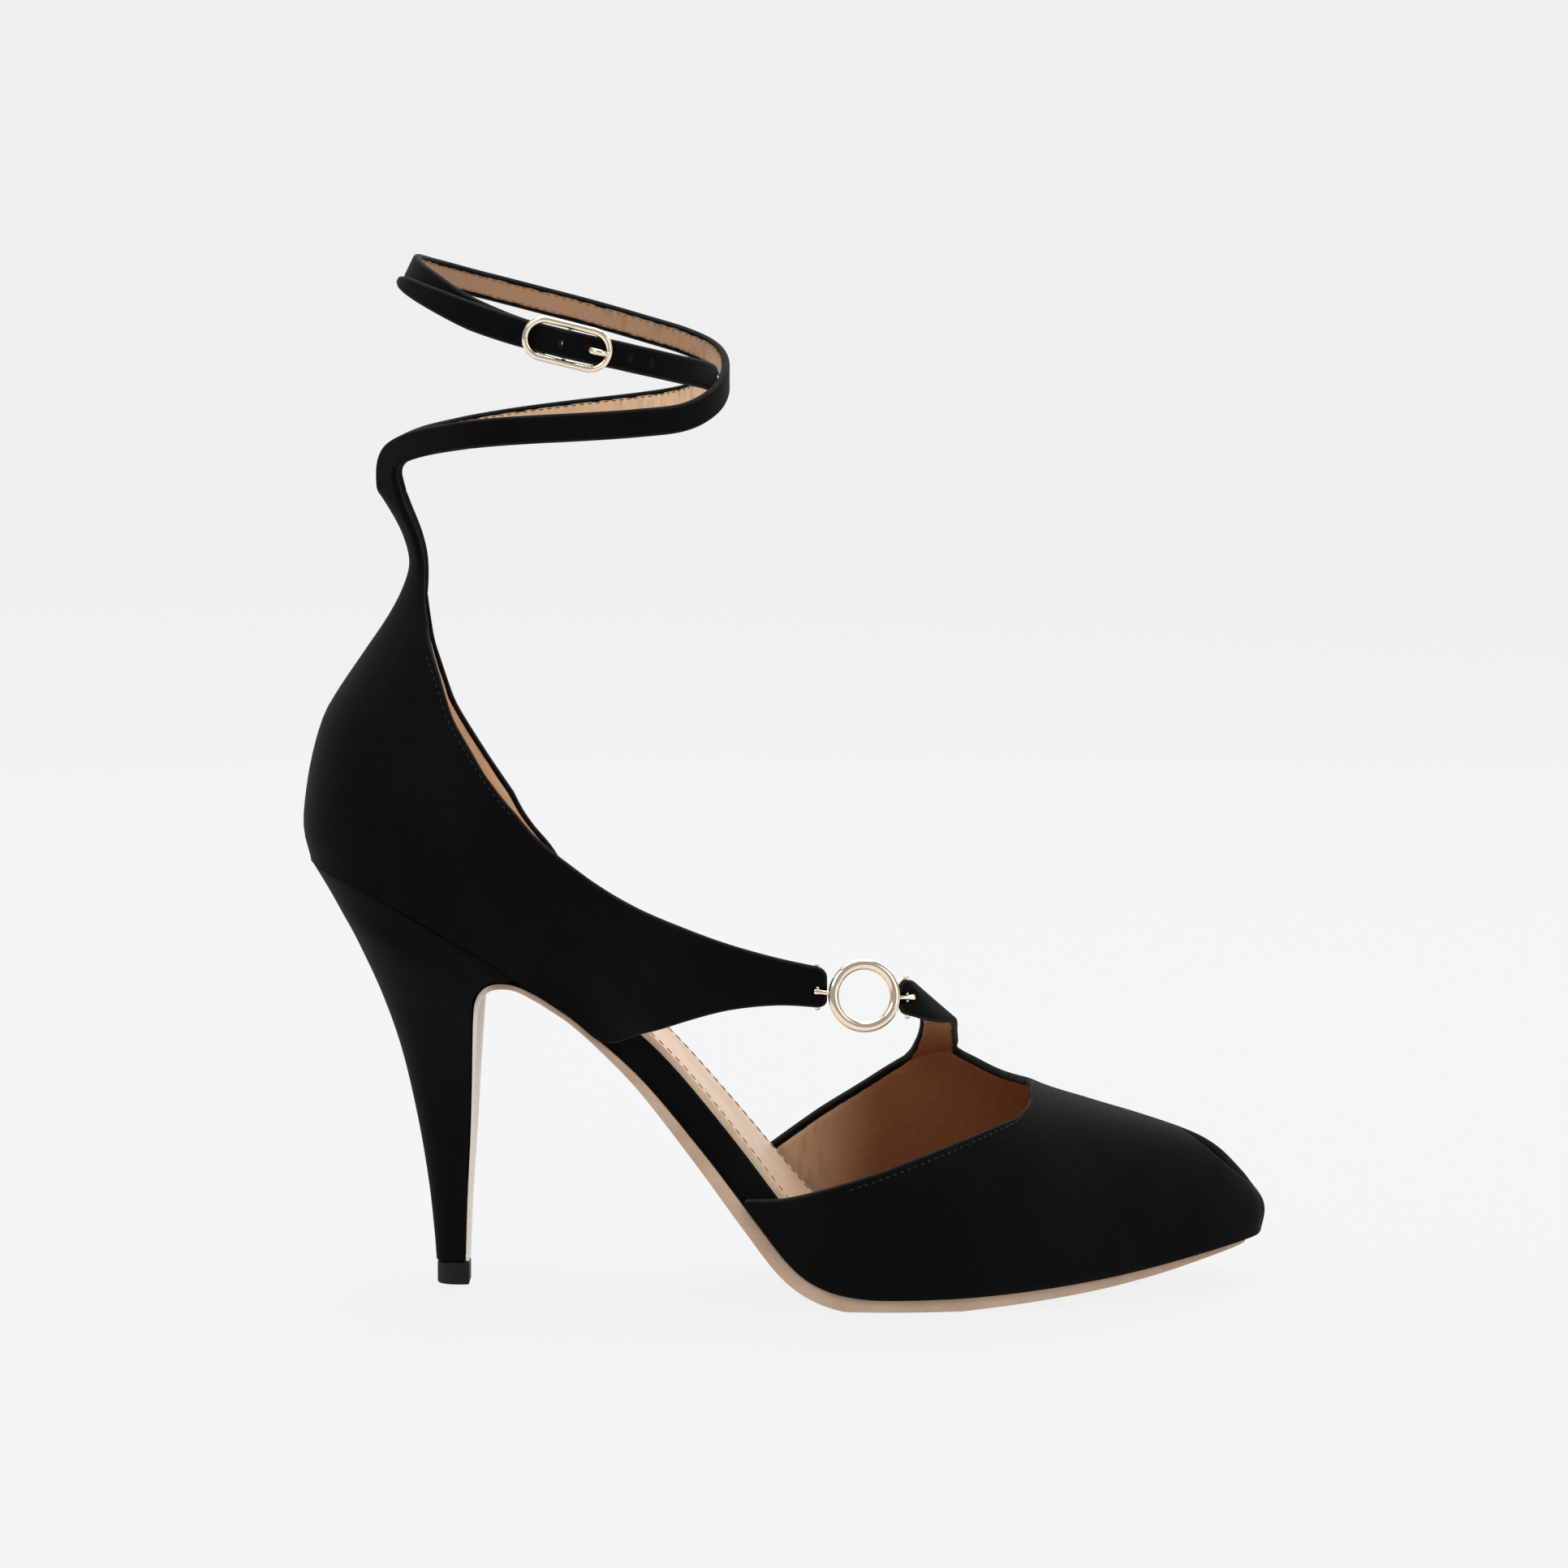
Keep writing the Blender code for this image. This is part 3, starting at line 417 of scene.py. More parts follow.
    def distance_to_rim(self, free: Field) -> Array:
        """Distance of each point from the free rim.

        Args:
            free: Says for each rim edge's middle whether the edge is free.

        Returns:
            Distances in millimetres.
        """
        ends = self.points[self.rim]
        ends = ends[free(ends.mean(axis=1))]
        marks = np.concatenate([ends[:, 0], ends[:, 1], ends.mean(axis=1)])
        tree = kdtree.KDTree(len(marks))
        for k, mark in enumerate(marks):
            tree.insert(mark, k)
        tree.balance()
        return np.array([tree.find(p)[2] for p in self.points])

    def cut(self, keep: Array) -> "Sheet":
        """The part of the surface where a value is above 0, cut along the line where it is 0.

        Args:
            keep: A value for each point.

        Returns:
            The cut surface.
        """
        inside = keep > 0.0
        number = np.cumsum(inside) - 1
        kept = int(inside.sum())
        crossings: dict[tuple[int, int], int] = {}
        faces: list[tuple[int, int, int]] = []
        for face in self.faces.tolist():
            loop: list[int] = []
            for a, b in zip(face, face[1:] + face[:1]):
                if inside[a]:
                    loop.append(int(number[a]))
                if inside[a] != inside[b]:
                    loop.append(kept + crossings.setdefault((min(a, b), max(a, b)), len(crossings)))
            faces += [(loop[0], loop[k], loop[k + 1]) for k in range(1, len(loop) - 1)]
        low, high = np.array(list(crossings), dtype=int).reshape(-1, 2).T
        shares = np.clip(keep[low] / (keep[low] - keep[high]), *CUT_LIMITS)

        def carried(array: Array) -> Array:
            """Values of the kept points and of the new ones."""
            return np.concatenate([array[inside], blend(array[low].T, array[high].T, shares).T])

        values = {name: carried(array) for name, array in self.values.items()}
        return Sheet(carried(self.points), np.array(faces), values)

    def scored(self, values: Array, levels: Sequence[float]) -> "Sheet":
        """The surface with lines of points where a value reaches some levels.

        Args:
            values: A value for each point.
            levels: The levels.

        Returns:
            The finer surface.
        """
        sheet = Sheet(self.points, self.faces, {**self.values, "scored": values})
        for level in levels:
            above = sheet.values["scored"] - level
            above = np.where(np.abs(above) < SCORE_LEAST, SCORE_LEAST, above)
            one, two = sheet.cut(above), sheet.cut(-above)
            faces = np.concatenate([one.faces, two.faces + len(one.points)])
            carried = {name: np.concatenate([one.values[name], two.values[name]]) for name in sheet.values}
            sheet = Sheet(np.concatenate([one.points, two.points]), faces, carried).welded()
        return sheet

    def walled(self, upper: Array, lower: Array) -> Shape:
        """A closed wall below the surface.

        Args:
            upper: Depth of the wall's outer face at each point.
            lower: Depth of the wall's inner face at each point.

        Returns:
            The wall's points and faces.
        """
        normals = self.values["normal"] if "normal" in self.values else self.normals
        count = len(self.points)
        a, b = self.rim.T
        sides = [np.stack((a + count, b + count, b), axis=1), np.stack((a + count, b, a), axis=1)]
        faces = np.concatenate([self.faces, self.faces[:, ::-1] + count, *sides])
        points = np.concatenate([self.points - normals * depth[:, None] for depth in (upper, lower)])
        return points, [tuple(face) for face in faces.tolist()]


def rolled(distance: Array, thickness: float) -> Array:
    """How far a rolled edge of some thickness draws a face in at distances from the edge."""
    radius = thickness / 2.0
    return ROLL * radius * (1.0 - np.sqrt(1.0 - np.clip(1.0 - distance / radius, 0.0, 1.0) ** 2))


def groove(points: Array, end: float, height: float, half: float, forward: float) -> Array:
    """Depth, 0 to 1, at points of a round-ended groove that runs on to the toe (1) or the heel (-1)."""
    run = np.minimum((points[..., 0] - end) * forward, 0.0)
    return 1.0 - ease(0.7, 1.25, np.hypot(run, points[..., 2] - height) / half)


# Solids


def slab(under: Array, over: Array) -> Shape:
    """A closed sheet between two matching grids.

    Args:
        under: Lower grid of points.
        over: Upper grid of points.

    Returns:
        Points and faces.
    """
    low = np.arange(under.shape[0] * under.shape[1]).reshape(under.shape[:2])
    high = low + low.size
    faces: Faces = []
    for grid, step in ((low, -1), (high, 1)):
        quads = np.stack((grid[:-1, :-1], grid[:-1, 1:], grid[1:, 1:], grid[1:, :-1]), axis=-1).reshape(-1, 4)
        faces += [tuple(quad[::step]) for quad in quads.tolist()]
    for a, b in ((low[0], high[0]), (low[-1], high[-1]), (low[:, 0], high[:, 0]), (low[:, -1], high[:, -1])):
        faces += list(zip(a[:-1].tolist(), a[1:].tolist(), b[1:].tolist(), b[:-1].tolist()))
    return np.concatenate([under.reshape(-1, 3), over.reshape(-1, 3)]), faces


def ring_faces(rings: int, sides: int, closed: bool = False) -> Faces:
    """Faces between rings of points, back to the first ring if closed."""
    pairs = [(i * sides, (i + 1) % rings * sides) for i in range(rings if closed else rings - 1)]
    return [(i + k, i + (k + 1) % sides, j + (k + 1) % sides, j + k) for i, j in pairs for k in range(sides)]


def bar(path: Sequence[Array], across: Array, radii: Sequence[Pair], sides: int,
        closed: bool = False) -> Shape:
    """A bar of oval section along a path.

    Args:
        path: Points of its centre line.
        across: A direction square to the path.
        radii: Half sizes along that direction and square to it at each point.
        sides: Number of faces around it.
        closed: Whether the path is a loop.

    Returns:
        Points and faces.
    """
    points: list[Array] = []
    count = len(path)
    turns = [2.0 * math.pi * k / sides for k in range(sides)]
    for i, (centre, (wide, deep)) in enumerate(zip(path, radii)):
        ahead = path[(i + 1) % count] if closed else path[min(i + 1, count - 1)]
        behind = path[i - 1] if closed else path[max(i - 1, 0)]
        third = np.cross(unit(ahead - behind), across)
        points += [centre + across * wide * math.cos(a) + third * deep * math.sin(a) for a in turns]
    faces = ring_faces(count, sides, closed)
    if not closed:
        faces += [tuple(range(sides)), tuple(range((count - 1) * sides, count * sides))]
    return np.array(points), faces


def domed(radius: float, half: float, steps: int = 4) -> tuple[list[float], list[float]]:
    """Places and radii along a straight bar with round ends.

    Args:
        radius: The bar's radius.
        half: Half of its length.
        steps: Rings at each end.

    Returns:
        Places along the bar and the radius at each.
    """
    turns = [math.pi / 2.0 * k / steps for k in range(steps + 1)]
    places = [-half + radius * (1.0 - math.cos(a)) for a in turns]
    sizes = [max(radius * math.sin(a), radius * 0.06) for a in turns]
    return places + [-place for place in places[::-1]], sizes + sizes[::-1]


def merged(shapes: Sequence[Shape]) -> Shape:
    """Several shapes as one.

    Args:
        shapes: The shapes.

    Returns:
        Points and faces of all of them.
    """
    faces: Faces = []
    start = 0
    for points, loops in shapes:
        faces += [tuple(start + k for k in loop) for loop in loops]
        start += len(points)
    return np.concatenate([points for points, _ in shapes]), faces


# Node trees


class Value:
    """An output of a node tree that takes part in Python sums."""

    def __init__(self, nodes: "Nodes", socket: bpy.types.NodeSocket) -> None:
        """Wrap a socket of a tree."""
        self.nodes, self.socket = nodes, socket

    def _sum(self, operation: str, first: Any, second: Any) -> "Value":
        """Math node of two terms."""
        return self.nodes.node("ShaderNodeMath", 0, {0: first, 1: second}, operation=operation)

    def __add__(self, other: Any) -> "Value":
        """Sum."""
        return self._sum("ADD", self, other)

    def __radd__(self, other: Any) -> "Value":
        """Sum from the left."""
        return self._sum("ADD", other, self)

    def __sub__(self, other: Any) -> "Value":
        """Difference."""
        return self._sum("SUBTRACT", self, other)

    def __rsub__(self, other: Any) -> "Value":
        """Difference from the left."""
        return self._sum("SUBTRACT", other, self)

    def __mul__(self, other: Any) -> "Value":
        """Product."""
        return self._sum("MULTIPLY", self, other)

    def __rmul__(self, other: Any) -> "Value":
        """Product from the left."""
        return self._sum("MULTIPLY", other, self)

    def stepped(self, low: float, high: float) -> "Value":
        """Smooth step of this number from 0 at low to 1 at high."""
        return self.nodes.node("ShaderNodeMapRange", "Result", {"Value": self, "From Min": low, "From Max": high},
                               interpolation_type="SMOOTHSTEP")


class Nodes:
    """A node tree that is written as sums of values."""

    def __init__(self, tree: bpy.types.NodeTree) -> None:
        """Keep the tree."""
        self.tree = tree

    def node(self, kind: str, out: str | int, inputs: dict[str | int, Any] | None = None, **settings: Any) -> Value:
        """Any node.

        Args:
            kind: The node's type.
            out: The output to read.
            inputs: Constants or links of its sockets by name or number.
            settings: Its settings.

        Returns:
            The output.
        """
        node = self.tree.nodes.new(kind)
        for label, setting in settings.items():
            setattr(node, label, setting)
        for key, given in (inputs or {}).items():
            self.feed(node.inputs[key], given)
        return Value(self, node.outputs[out])

    def feed(self, socket: bpy.types.NodeSocket, given: Any) -> None:
        """Give a socket a link or a constant.

        Args:
            socket: The socket.
            given: A value, a number, a colour, a vector or a material.
        """
        if isinstance(given, Value):
            self.tree.links.new(given.socket, socket)
        elif socket.type == "RGBA":
            socket.default_value = (*given, 1.0)
        else:
            socket.default_value = given


class Graph(Nodes):
    """Node tree of one material around a Principled shader."""

    def __init__(self, name: str) -> None:
        """Start a material.

        Args:
            name: The material's name.
        """
        self.material = bpy.data.materials.new(name)
        self.material.use_nodes = True
        super().__init__(self.material.node_tree)

    def place(self) -> Value:
        """Object coordinates."""
        return self.node("ShaderNodeTexCoord", "Object")

    def axis(self, key: str) -> Value:
        """One axis of the object coordinates."""
        return self.node("ShaderNodeSeparateXYZ", key, {"Vector": self.place()})

    def attribute(self, name: str) -> Value:
        """A value stored at the piece's points."""
        return self.node("ShaderNodeAttribute", "Fac", attribute_name=name)

    def stretched(self, scale: Point, turn: Point = (0.0, 0.0, 0.0)) -> Value:
        """Object coordinates scaled along and turned about each axis."""
        return self.node("ShaderNodeMapping", "Vector", {"Vector": self.place(), "Scale": scale, "Rotation": turn})

    def noise(self, scale: float, detail: float, rough: float = 0.5, where: Value | None = None) -> Value:
        """Noise of some features in a metre, octaves and weight of the finer ones."""
        sockets = {"Vector": where or self.place(), "Scale": scale, "Detail": detail, "Roughness": rough}
        return self.node("ShaderNodeTexNoise", 0, sockets)

    def cells(self, scale: float) -> Value:
        """Distance from the middles of cells, of which a metre holds some number."""
        return self.node("ShaderNodeTexVoronoi", "Distance", {"Vector": self.place(), "Scale": scale}, feature="F1")

    def mix(self, share: Any, first: Any, second: Any) -> Value:
        """Colour with a share of the second colour in the first."""
        return self.node("ShaderNodeMix", 2, {0: share, 6: first, 7: second}, data_type="RGBA")

    def bump(self, height: Value, strength: float, depth: float) -> Value:
        """Normal of a surface with bumps of some weight and depth in metres."""
        return self.node("ShaderNodeBump", "Normal", {"Height": height, "Strength": strength, "Distance": depth})

    def finished(self, sockets: dict[str, Any]) -> bpy.types.Material:
        """Set the shader's sockets.

        Args:
            sockets: A value or a constant for each socket.

        Returns:
            The finished material.
        """
        for key, given in sockets.items():
            self.feed(self.tree.nodes["Principled BSDF"].inputs[key], given)
        return self.material


# Finishes


@dataclass(frozen=True)
class Suede:
    """Black suede: short nap, brushed patches, and a painted sheen highlight along rolled edges."""

    slot: Slot = Slot.SUEDE
    name: str = "suede_black"
    pile: Colour = (0.0018, 0.0018, 0.0019)
    brushed: Colour = (0.0046, 0.0043, 0.0040)
    # Colour of the painted sheen highlight along rolled edges
    edge_sheen: Colour = (0.020, 0.0195, 0.019)
    nap: float = 2600.0
    clumps: float = 520.0
    strokes: float = 42.0
    sheen: float = 0.045
    sheen_tint: Colour = (0.95, 0.92, 0.88)

    @cached_property
    def material(self) -> bpy.types.Material:
        """The material of the upper, the heel cover and the platform cover."""
        graph = Graph(self.name)
        nap = graph.noise(self.nap, 2.0, 0.6)
        clumps = graph.noise(self.clumps, 3.0, 0.6)
        strokes = graph.noise(self.strokes, 3.0, 0.55, graph.stretched((1.0, 1.0, 0.55), (0.0, 0.5, 0.0)))
        light = strokes.stepped(0.42, 0.68) * 0.62 + clumps.stepped(0.4, 0.75) * 0.3 + nap * 0.22
        # Painted sheen highlight: the suede turns paler along rolled edges, following the edge value of each point
        edge = graph.attribute("edge") * (0.45 + clumps * 0.9)
        colour = graph.mix(light, self.pile, self.brushed)
        return graph.finished({
            "Base Color": graph.mix(edge.stepped(0.1, 1.2), colour, self.edge_sheen),
            "Roughness": 0.86 + nap * 0.12,
            "Normal": graph.bump(nap * 0.55 + clumps * 0.45, 0.45, 0.00018),
            "Specular IOR Level": 0.07, "Sheen Weight": self.sheen, "Sheen Roughness": 0.42,
            "Sheen Tint": self.sheen_tint,
        })


@dataclass(frozen=True)
class GrainLeather:
    """Smooth leather with pores, soft creases and cloudy colour, darkened by painted shade in the forefoot and deeper
    in the top loop.
    """

    name: str
    pale: Colour
    deep: Colour
    pores: float
    clouds: float
    creases: float
    crease_depth: float
    gloss: float
    rough: float
    # Colour of the painted shade inside the forefoot, and the deeper tone of the top loop
    forefoot_shade: Colour | None = None
    top_loop: Colour | None = None
    wrinkle: Colour = (0.2, 0.11, 0.06)
    ripples: float = 560.0
    front_x: Pair = (-0.054, -0.036)
    straps_z: Pair = (0.17, 0.18)
    forefoot_shade_x: Pair = (-0.002, 0.026)
    forefoot_shade_z: Pair = (0.09, 0.11)
    instep_z: Pair = (0.048, 0.066)
    waist_back: Pair = (-0.012, -0.002)
    waist_front: Pair = (0.004, 0.016)
    waist_z: Pair = (0.032, 0.046)
    top_loop_z: Pair = (0.194, 0.206)
    slot: Slot = Slot.LINING

    @cached_property
    def material(self) -> bpy.types.Material:
        """The material of a lining or an insole."""
        graph = Graph(self.name)
        pores = graph.cells(self.pores)
        clouds = graph.noise(self.clouds, 4.0, 0.6)
        fine = graph.noise(self.pores * 0.55, 3.0, 0.6)
        creases = graph.noise(self.creases, 3.0, 0.55, graph.stretched((1.0, 1.0, 0.28), (0.0, 0.9, 0.25)))
        along, up = graph.axis("X"), graph.axis("Z")
        colour = graph.mix(clouds.stepped(0.3, 0.72) * 0.7 + fine * 0.3, self.deep, self.pale)
        colour = graph.mix((1.0 - pores).stepped(0.62, 1.0) * 0.22, colour, self.deep)
        bend = along.stepped(*self.front_x) * up.stepped(*self.straps_z)
        # Painted shade inside the toe: the lining turns dark towards the front, less so under the instep
        if self.forefoot_shade:
            low = (1.0 - up.stepped(*self.forefoot_shade_z)) * (1.0 - up.stepped(*self.instep_z) * 0.35)
            share = (along + clouds * 0.008).stepped(*self.forefoot_shade_x) * low * (0.92 + fine * 0.1)
            colour = graph.mix(share, colour, self.forefoot_shade)
            waist = along.stepped(*self.waist_back) * (1.0 - along.stepped(*self.waist_front))
            bend = bend + waist * (1.0 - up.stepped(*self.waist_z)) * 0.8
        if self.top_loop:
            share = (up + clouds * 0.004).stepped(*self.top_loop_z) * (0.9 + fine * 0.2)
            colour = graph.mix(share, colour, self.top_loop)
        ripples = graph.noise(self.ripples, 2.0, 0.55, graph.stretched((1.0, 1.0, 0.26)))
        height = pores.stepped(0.0, 0.55) * 0.28 + fine * 0.2 + creases * self.crease_depth + ripples * bend * 3.0
        return graph.finished({
            "Base Color": graph.mix(ripples.stepped(0.48, 0.72) * bend * 0.36, colour, self.wrinkle),
            "Roughness": self.rough + fine * 0.16 - clouds * 0.06,
            "Normal": graph.bump(height, 0.4, 0.00022),
            "Specular IOR Level": self.gloss,
        })


@dataclass(frozen=True)
class SoleLeather:
    """Sole leather: bands along the cut edge, a paler turned-down flap, scuffs underneath."""

    slot: Slot = Slot.SOLE
    name: str = "sole_natural"
    pale: Colour = (0.60, 0.44, 0.32)
    deep: Colour = (0.40, 0.25, 0.155)
    flap: Colour = (0.78, 0.73, 0.66)
    dirt: Colour = (0.17, 0.12, 0.085)
    layers: float = 1500.0
    clouds: float = 60.0
    fibres: float = 900.0
    scuffs: float = 150.0
    ground_z: Pair = (0.0004, 0.0016)
    flap_x: Pair = (-0.0655, -0.0615)

    @cached_property
    def material(self) -> bpy.types.Material:
        """The material of the outsole."""
        graph = Graph(self.name)
        clouds = graph.noise(self.clouds, 4.0, 0.6)
        layers = graph.noise(self.layers, 2.0, 0.5, graph.stretched((0.05, 0.05, 1.0)))
        fibres = graph.noise(self.fibres, 4.0, 0.65)
        scuffs = graph.noise(self.scuffs, 5.0, 0.7, graph.stretched((0.35, 1.0, 1.0), (0.0, 0.0, 0.5)))
        tone = clouds.stepped(0.3, 0.7) * 0.5 + layers * 0.35 + fibres * 0.2
        trodden = scuffs.stepped(0.55, 0.72) * (1.0 - graph.axis("Z").stepped(*self.ground_z)) * 0.6
        colour = graph.mix(trodden, graph.mix(tone, self.deep, self.pale), self.dirt)
        behind = 1.0 - graph.axis("X").stepped(*self.flap_x)
        return graph.finished({
            "Base Color": graph.mix(behind * 0.86, colour, self.flap),
            "Roughness": 0.42 + fibres * 0.22,
            "Normal": graph.bump(layers * 0.4 + fibres * 0.5 + scuffs * 0.3, 0.3, 0.00015),
            "Specular IOR Level": 0.4,
        })


@dataclass(frozen=True)
class Rubber:
    """Moulded rubber tip with a fine pitted skin."""

    slot: Slot = Slot.RUBBER
    name: str = "rubber_tip"
    body: Colour = (0.006, 0.0058, 0.0056)
    dusty: Colour = (0.015, 0.0146, 0.014)
    pits: float = 2200.0
    dust: float = 240.0

    @cached_property
    def material(self) -> bpy.types.Material:
        """The material of the heel tip."""
        graph = Graph(self.name)
        pits = graph.noise(self.pits, 3.0, 0.6)
        dust = graph.noise(self.dust, 4.0, 0.6).stepped(0.45, 0.75)
        return graph.finished({
            "Base Color": graph.mix(dust * 0.6 + pits * 0.15, self.body, self.dusty),
            "Roughness": 0.55 + pits * 0.2,
            "Normal": graph.bump(pits, 0.3, 0.00012),
            "Specular IOR Level": 0.2,
        })


@dataclass(frozen=True)
class Gilt:
    """Polished pale gold plating with faint polishing lines and handling haze."""

    slot: Slot = Slot.METAL
    name: str = "gilt_pale"
    body: Colour = (0.98, 0.83, 0.64)
    warm: Colour = (0.88, 0.68, 0.46)
    haze: float = 260.0
    lines: float = 3200.0

    @cached_property
    def material(self) -> bpy.types.Material:
        """The material of the ring and the buckle."""
        graph = Graph(self.name)
        haze = graph.noise(self.haze, 4.0, 0.6)
        lines = graph.noise(self.lines, 2.0, 0.5, graph.stretched((1.0, 0.2, 1.0), (0.3, 0.0, 0.7)))
        return graph.finished({
            "Base Color": graph.mix(haze.stepped(0.45, 0.8) * 0.45, self.body, self.warm),
            "Roughness": 0.1 + haze.stepped(0.4, 0.8) * 0.06 + lines * 0.03,
            "Normal": graph.bump(lines, 0.02, 0.00004),
            "Metallic": 1.0,
        })


@dataclass(frozen=True)
class Thread:
    """Twisted sewing thread."""

    slot: Slot
    name: str
    light: Colour
    dark: Colour
    twist: float = 5200.0
    fibre: float = 1400.0

    @cached_property
    def material(self) -> bpy.types.Material:
        """The material of a row of stitches."""
        graph = Graph(self.name)
        twist = graph.noise(self.twist, 2.0, 0.5)
        fibre = graph.noise(self.fibre, 3.0, 0.6)
        return graph.finished({
            "Base Color": graph.mix(twist * 0.7 + fibre * 0.3, self.dark, self.light),
            "Roughness": 0.5 + fibre * 0.3,
            "Normal": graph.bump(twist, 0.4, 0.00006),
            "Specular IOR Level": 0.4,
        })


Finish = Suede | GrainLeather | SoleLeather | Rubber | Gilt | Thread

SUEDE, SOLE, RUBBER, GILT = Suede(), SoleLeather(), Rubber(), Gilt()
# The last two colours are the painted shade inside the forefoot and the deeper tone of the top loop
LINING = GrainLeather("lining_tan", (0.86, 0.59, 0.38), (0.70, 0.455, 0.27), 1500.0, 55.0, 260.0, 0.75, 0.35, 0.46,
                      (0.178, 0.054, 0.014), (0.41, 0.235, 0.13))
INSOLE = GrainLeather("insole_beige", (0.66, 0.49, 0.345), (0.52, 0.36, 0.235), 1700.0, 70.0, 120.0, 0.3, 0.4, 0.42)
DARK_THREAD = Thread(Slot.SUEDE, "thread_dark", (0.026, 0.025, 0.024), (0.006, 0.006, 0.006))
TAN_THREAD = Thread(Slot.LINING, "thread_tan", (0.30, 0.165, 0.085), (0.14, 0.07, 0.034))


# Pieces


@dataclass
class Workshop:
    """Turns shapes in the maker's millimetres into pieces that ride on the part."""

    heel_back: float = -75.5
    meet: float = 0.004
    sliver: float = 0.002
    corner_angle: float = 38.0
    corner_steps: int = 3

    @cached_property
    def origin(self) -> Array:
        """Where the maker's origin lies in the part's frame."""
        low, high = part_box("top_piece")
        return np.array((low.x / MM - self.heel_back, (low.y + high.y) / 2.0 / MM, 0.0))

    def placed(self, points: Array) -> Array:
        """Points in the part's frame, in metres."""
        return (np.asarray(points) + self.origin) * MM

    def ridden(self, name: str, data: bpy.types.Mesh, finish: Finish) -> bpy.types.Object:
        """A mesh as a piece on the part's body.

        Args:
            name: The piece's name.
            data: Its mesh.
            finish: Its finish, not used.

        Returns:
            The piece's object.
        """
        thing = bpy.data.objects.new(name, data)
        bpy.context.scene.collection.objects.link(thing)
        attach(thing, BODY)
        LOG.info("%s: %d faces", name, len(data.polygons))
        return thing

    def piece(self, name: str, shape: Shape, finish: Finish, replaces: Sequence[str] = (), *, soften: float = 0.0,
              sharp: float = 180.0, turned: bool = False, edge: Array | None = None) -> None:
        """Make a finished piece.

        Args:
            name: The piece's name.
            shape: Its points and faces in millimetres.
            finish: Its finish.
            replaces: Nodes of the part that it stands for.
            soften: Radius of its corners in millimetres, or 0.
            sharp: Corners above this angle are drawn sharp, in degrees.
            turned: Whether the shape's faces still need turning outwards.
            edge: How near each point is to a rolled edge, where the finish paints a sheen highlight.
        """
        points, faces = shape
        data = bpy.data.meshes.new(name)
        data.from_pydata(self.placed(points).tolist(), [], faces)
        if edge is not None:
            data.attributes.new("edge", "FLOAT", "POINT").data.foreach_set("value", edge.astype(np.float32))
        if turned or soften > 0.0:
            self.tidied(data, soften)
        data.validate()
        data.shade_smooth()
        if sharp < 180.0:
            data.set_sharp_from_angle(angle=math.radians(sharp))
        data.materials.append(finish.material)
        thing = self.ridden(name, data, finish)
        if replaces:
            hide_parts(*replaces)

    def tidied(self, data: bpy.types.Mesh, soften: float) -> None:
        """Merge doubles, turn faces outwards and round the corners of a mesh.

        Args:
            data: The mesh.
            soften: Radius of the corners in millimetres, or 0.
        """
        mesh = bmesh.new()
        mesh.from_mesh(data)
        bmesh.ops.remove_doubles(mesh, verts=mesh.verts, dist=self.meet * MM)
        bmesh.ops.dissolve_degenerate(mesh, edges=mesh.edges, dist=self.sliver * MM)
        bmesh.ops.recalc_face_normals(mesh, faces=mesh.faces)
        if soften > 0.0:
            limit = math.radians(self.corner_angle)
            corners = [e for e in mesh.edges if e.is_manifold and e.calc_face_angle(0.0) > limit]
            bmesh.ops.bevel(mesh, geom=corners, offset=soften * MM, offset_type="OFFSET",
                            segments=self.corner_steps, profile=0.5, affect="EDGES", clamp_overlap=True)
        mesh.to_mesh(data)
        mesh.free()


